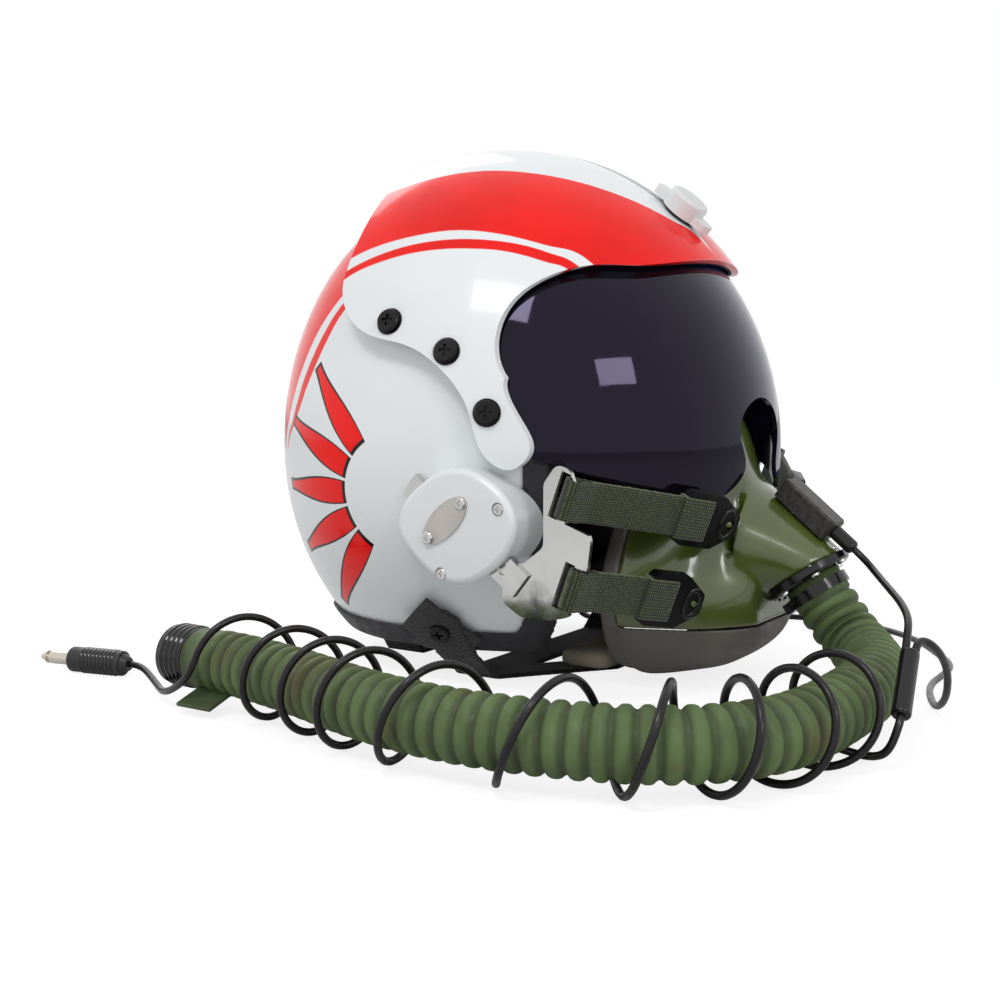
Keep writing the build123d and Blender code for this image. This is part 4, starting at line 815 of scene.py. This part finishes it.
for level in ("upper", "lower"):
    for side_name, side in (("_right", -1), ("_left", 1)):
        axes, low, high = buckle_frame(level + "_buckles", side, level + "_strap" + side_name)
        middle = axes[0] * (low[0] + (fold_start + fold_reach) / 2)
        middle += axes[1] * (low[1] + high[1]) / 2 + axes[2] * (low[2] + high[2]) / 2
        turn = Matrix(axes).transposed().to_4x4()
        size = (fold_reach - fold_start, fold_width, high[2] - low[2] + 2 * fold_cover)
        form = bmesh.new()
        bmesh.ops.create_cube(form, size=1)
        bmesh.ops.scale(form, vec=size, verts=form.verts)
        bmesh.ops.bevel(form, geom=form.edges[:], offset=0.0014, segments=4, affect="EDGES",
                        profile=0.5, material=-1)
        bmesh.ops.transform(form, matrix=Matrix.Translation(middle) @ turn, verts=form.verts)
        bmesh.ops.recalc_face_normals(form, faces=form.faces)
        fold_mesh = bpy.data.meshes.new(level + "_fold" + side_name)
        form.to_mesh(fold_mesh)
        form.free()
        fold = bpy.data.objects.new(fold_mesh.name, fold_mesh)
        bpy.context.scene.collection.objects.link(fold)
        lay_cloth(fold)
        dress(fold, olive_webbing, "mask", "webbing")
        outer_face = high[2] if side * axes[2].x > 0 else low[2]
        eye = axes[0] * (high[0] - eye_inset) + axes[1] * (low[1] + high[1]) / 2
        placed = Matrix.Translation(eye + axes[2] * outer_face) @ turn
        eyelet(level + "_eyelet" + side_name, placed, eye_long, eye_wide, eye_wire)
print("folded strap ends", 4, "eyelets", 4)

# %% [markdown]
# The chin strap ends in a square tab of the same black webbing under its screw, laid slanting
# over the rim. The tab is a small grid turned in the plane of the helmet's side, and each of
# its points is set on the dome that lies just outside the strap.

# %% Tabs of the chin strap
tab_size = (0.024, 0.027)
tab_slope = math.radians(50)
tab_stand = 0.0054
tab_wall = 0.0008
screw_y, screw_z = place(0, -24, 27).yz
shell_corners = [Vector(corner) for corner in nodes["shell"].bound_box]
shell_half_width = max(corner.x for corner in shell_corners)
shell_depth = max(corner.y for corner in shell_corners) - shift
shell_drop = 0.128


def tab_side(y, z, stand):
    """How far out the dome lies at a place on the helmet's side."""
    share = ((y - dome.y) / (shell_depth + stand)) ** 2
    share += ((z - dome.z) / (shell_drop + stand)) ** 2
    return (shell_half_width + stand) * math.sqrt(1 - share)


for side_name, side in (("_right", -1), ("_left", 1)):
    form = bmesh.new()
    bmesh.ops.create_grid(form, x_segments=12, y_segments=12, size=0.5)
    for vertex in form.verts:
        along, across = vertex.co.x * tab_size[1], vertex.co.y * tab_size[0]
        y = screw_y - along * math.cos(tab_slope) - across * math.sin(tab_slope)
        z = screw_z - along * math.sin(tab_slope) + across * math.cos(tab_slope)
        vertex.co = (side * tab_side(y, z, tab_stand), y, z)
    bmesh.ops.recalc_face_normals(form, faces=form.faces)
    tab_mesh = bpy.data.meshes.new("strap_tab" + side_name)
    form.to_mesh(tab_mesh)
    form.free()
    tab = bpy.data.objects.new(tab_mesh.name, tab_mesh)
    bpy.context.scene.collection.objects.link(tab)
    wall = tab.modifiers.new("wall", "SOLIDIFY")
    wall.thickness = tab_wall
    wall.offset = 0
    rounding = tab.modifiers.new("edges", "BEVEL")
    rounding.width = 0.0003
    rounding.segments = 2
    settle(tab)
    lay_cloth(tab)
    dress(tab, black_webbing, "helmet", "black_strap")
print("strap tabs", 2, "shell half width", round(shell_half_width, 4))

# %% [markdown]
# The connector on the hose's end and the plug's handle have moulded grip rings. A profile
# with round ridges is spun about the axis of each, just proud of the CAD piece.

# %% Grip rings


def grip_rings(name, start, heading, radius, proud, length, count, graph, slot):
    """A thin sleeve with round rings from a start along a heading."""
    form = bmesh.new()
    outline = [(radius, 0)]
    for ring in range(count):
        for share, height in ((0.1, 0), (0.22, 0.7), (0.4, 1), (0.6, 1), (0.78, 0.7), (0.9, 0)):
            outline.append((radius + 0.00005 + proud * height, (ring + share) * length / count))
    outline.append((radius, length))
    outline += [(radius - 0.0004, length), (radius - 0.0004, 0)]
    rim = [form.verts.new((out, 0, height)) for out, height in outline]
    for a, b in zip(rim, rim[1:] + rim[:1]):
        form.edges.new((a, b))
    bmesh.ops.spin(form, geom=form.verts[:] + form.edges[:], cent=(0, 0, 0), axis=(0, 0, 1),
                   angle=math.tau, steps=40, use_merge=True)
    bmesh.ops.remove_doubles(form, verts=form.verts, dist=0.000005)
    turn = heading.to_track_quat("Z", "Y").to_matrix().to_4x4()
    bmesh.ops.transform(form, matrix=Matrix.Translation(start) @ turn, verts=form.verts)
    bmesh.ops.recalc_face_normals(form, faces=form.faces)
    mesh = bpy.data.meshes.new(name)
    form.to_mesh(mesh)
    form.free()
    for face in mesh.polygons:
        face.use_smooth = True
    sleeve = bpy.data.objects.new(name, mesh)
    bpy.context.scene.collection.objects.link(sleeve)
    dress(sleeve, graph, "mask", slot)
    return sleeve


hose_end, hose_heading = hose_line[-1], (hose_line[-1] - hose_line[-2]).normalized()
connector_rings = grip_rings("connector_rings", hose_end + hose_heading * 0.001, hose_heading,
                             0.0134, 0.0007, 0.0125, 4, black_gloss, "black_plastic")
flap_form = bmesh.new()
bmesh.ops.create_cube(flap_form, size=1)
bmesh.ops.scale(flap_form, vec=(0.016, 0.020, 0.0018), verts=flap_form.verts)
bmesh.ops.bevel(flap_form, geom=flap_form.edges[:], offset=0.0007, segments=3,
                affect="EDGES", profile=0.5, material=-1)
bmesh.ops.rotate(flap_form, verts=flap_form.verts, cent=(0, 0, 0),
                 matrix=Matrix.Rotation(math.radians(-18), 3, "Y"))
bmesh.ops.translate(flap_form, verts=flap_form.verts,
                    vec=hose_end - hose_heading * 0.016 + Vector((-0.0135, 0, -0.0135)))
flap_mesh = bpy.data.meshes.new("hose_flap")
flap_form.to_mesh(flap_mesh)
flap_form.free()
hose_flap = bpy.data.objects.new("hose_flap", flap_mesh)
bpy.context.scene.collection.objects.link(hose_flap)
dress(hose_flap, hose_rubber, "mask", "hose_green")
plug_start = comm_route[-1] + plug_heading * 0.006
plug_rings = grip_rings("plug_rings", plug_start, plug_heading, 0.0061, 0.0003, 0.020, 9,
                        black_gloss, "black_plastic")
print("grip rings", 4 + 9)

# %% [markdown]
# The mask is one soft moulding: its cone runs into its cheeks without an edge. A smooth
# modifier does that, and a vertex group holds it back wherever another piece is seated, so
# that the rims, the studs and the port keep their place.

# %% The mask's moulding
seated = ("face_seal", "port_flange", "upper_buckles", "lower_buckles", "mic_connector")
seat_near = 0.0015
seat_far = 0.006


def free_group(obj):
    """A vertex group that is zero beside the seated pieces and one away from them."""
    depsgraph = bpy.context.evaluated_depsgraph_get()
    trees = [BVHTree.FromObject(nodes[name], depsgraph) for name in seated]
    group = obj.vertex_groups.new(name="free")
    for vertex in obj.data.vertices:
        gap = min(tree.find_nearest(vertex.co)[3] for tree in trees)
        share = (gap - seat_near) / (seat_far - seat_near)
        group.add([vertex.index], min(max(share, 0), 1), "REPLACE")


moulding = copy_of("mask_shell", "mask_moulding")
soften(moulding, 0.0012, 2)
free_group(moulding)
flow = moulding.modifiers.new("flow", "SMOOTH")
flow.factor = 0.5
flow.iterations = 60
flow.vertex_group = "free"
settle(moulding)
dress(moulding, mask_skin, "mask", "mask_green", "mask_shell")
print(moulding.name, "faces", len(moulding.data.polygons))

# %% Rubber and leather rolls
roll_nodes = {
    "edge_roll": ("edge_roll_cover", 0.0016, 5, "helmet", roll_leather, "edge_rubber"),
    "face_seal": ("face_seal_lip", 0.0014, 4, "mask", face_rubber, "mask_grey"),
}
for node, (name, voxel, rounds, body, graph, slot) in roll_nodes.items():
    roll = copy_of(node, name)
    soften(roll, voxel, rounds)
    dress(roll, graph, body, slot, node)
    print(roll.name, "faces", len(roll.data.polygons))

# %% Pads
pad_nodes = {
    "crown_pad": (violet_cloth, "lining"), "brow_pad": (violet_cloth, "lining"),
    "nape_pad": (violet_cloth, "lining"), "cheek_pad_right": (violet_cloth, "lining"),
    "cheek_pad_left": (violet_cloth, "lining"), "ear_seal_right": (seal_leather, "foam"),
    "ear_seal_left": (seal_leather, "foam"), "chin_pad": (pad_leather, "chin_leather"),
}
for node, (graph, slot) in pad_nodes.items():
    pad = copy_of(node, node + "_cover")
    soften(pad, 0.0030 if "seal" in node or node == "chin_pad" else 0.0045, 3)
    puff(pad, 0.002)
    finer = pad.modifiers.new("finer", "SUBSURF")
    finer.levels = 1
    finer.render_levels = 1
    settle(pad)
    lay_cloth(pad)
    dress(pad, graph, "helmet", slot, node)
    print(pad.name, "faces", len(pad.data.polygons))

# %% [markdown]
# ## Cords take their finish
# Each cord and the hose get their finish and ride with the mask, and the CAD tube that each replaces is hidden.

for lead, node in ((comm_cord, "comm_cord"), (mic_cord, "mic_cord"), (branch_cord, "branch_cord")):
    dress(lead, cord_skin, "mask", "cord_black", node)
dress(ribbed_hose, hose_rubber, "mask", "hose_green", "hose")

# %% [markdown]
# ## Floor and light
# The object lies on a pale floor in soft light. For the camera the background is white; in
# the reflections of chrome and visor the same white shows. The floor keeps the shadow.

# %% Studio
floor_form = bmesh.new()
bmesh.ops.create_grid(floor_form, x_segments=2, y_segments=2, size=6)
floor_mesh = bpy.data.meshes.new("floor")
floor_form.to_mesh(floor_mesh)
floor_form.free()
floor = bpy.data.objects.new("floor", floor_mesh)
bpy.context.scene.collection.objects.link(floor)

floor_graph = Graph("floor")
seen = floor_graph.add("LightPath").outputs["Is Camera Ray"]
floor_graph.set(Base_Color=(0.80, 0.80, 0.80, 1), Roughness=0.9)
own_light = floor_graph.add("Emission")
own_light.inputs["Color"].default_value = (1, 1, 1, 1)
own_light.inputs["Strength"].default_value = 1.36
mix = floor_graph.add("MixShader")
floor_graph.join(floor_graph.sum("MULTIPLY", seen, 0.6), mix.inputs[0])
floor_graph.tree.links.new(floor_graph.shader.outputs[0], mix.inputs[1])
floor_graph.tree.links.new(own_light.outputs[0], mix.inputs[2])
output = floor_graph.tree.nodes["Material Output"]
floor_graph.tree.links.new(mix.outputs[0], output.inputs["Surface"])
floor_mesh.materials.append(floor_graph.material)

world = bpy.data.worlds.new("studio")
bpy.context.scene.world = world
world.use_nodes = True
sky = world.node_tree
soft_light = sky.nodes["Background"]
soft_light.inputs["Color"].default_value = (1, 1, 1, 1)
soft_light.inputs["Strength"].default_value = 0.6
white = sky.nodes.new("ShaderNodeBackground")
white.inputs["Color"].default_value = (1, 1, 1, 1)
white.inputs["Strength"].default_value = 1.0
ray = sky.nodes.new("ShaderNodeLightPath")
first = sky.nodes.new("ShaderNodeMath")
first.operation = "MAXIMUM"
second = sky.nodes.new("ShaderNodeMath")
second.operation = "MAXIMUM"
sky.links.new(ray.outputs["Is Camera Ray"], first.inputs[0])
sky.links.new(ray.outputs["Is Transmission Ray"], first.inputs[1])
sky.links.new(first.outputs[0], second.inputs[0])
sky.links.new(ray.outputs["Is Glossy Ray"], second.inputs[1])
choice = sky.nodes.new("ShaderNodeMixShader")
sky.links.new(second.outputs[0], choice.inputs[0])
sky.links.new(soft_light.outputs[0], choice.inputs[1])
sky.links.new(white.outputs[0], choice.inputs[2])
sky.links.new(choice.outputs[0], sky.nodes["World Output"].inputs["Surface"])


def lamp(name, place_at, size, power):
    """A soft area lamp that points at the helmet."""
    light = bpy.data.lights.new(name, "AREA")
    light.shape = "RECTANGLE"
    light.size = size
    light.size_y = size * 0.6
    light.energy = power
    holder = bpy.data.objects.new(name, light)
    holder.location = place_at
    toward = Vector((0, 0, 0.1)) - Vector(place_at)
    holder.rotation_euler = toward.to_track_quat("-Z", "Y").to_euler()
    bpy.context.scene.collection.objects.link(holder)


lamp("key", (-1.1, -0.2, 1.5), 0.6, 7.5)
lamp("fill", (-0.75, -1.45, 0.95), 0.5, 4)
lamp("back", (0.8, 1.2, 1.2), 1.0, 5)
print("lamps", 3)
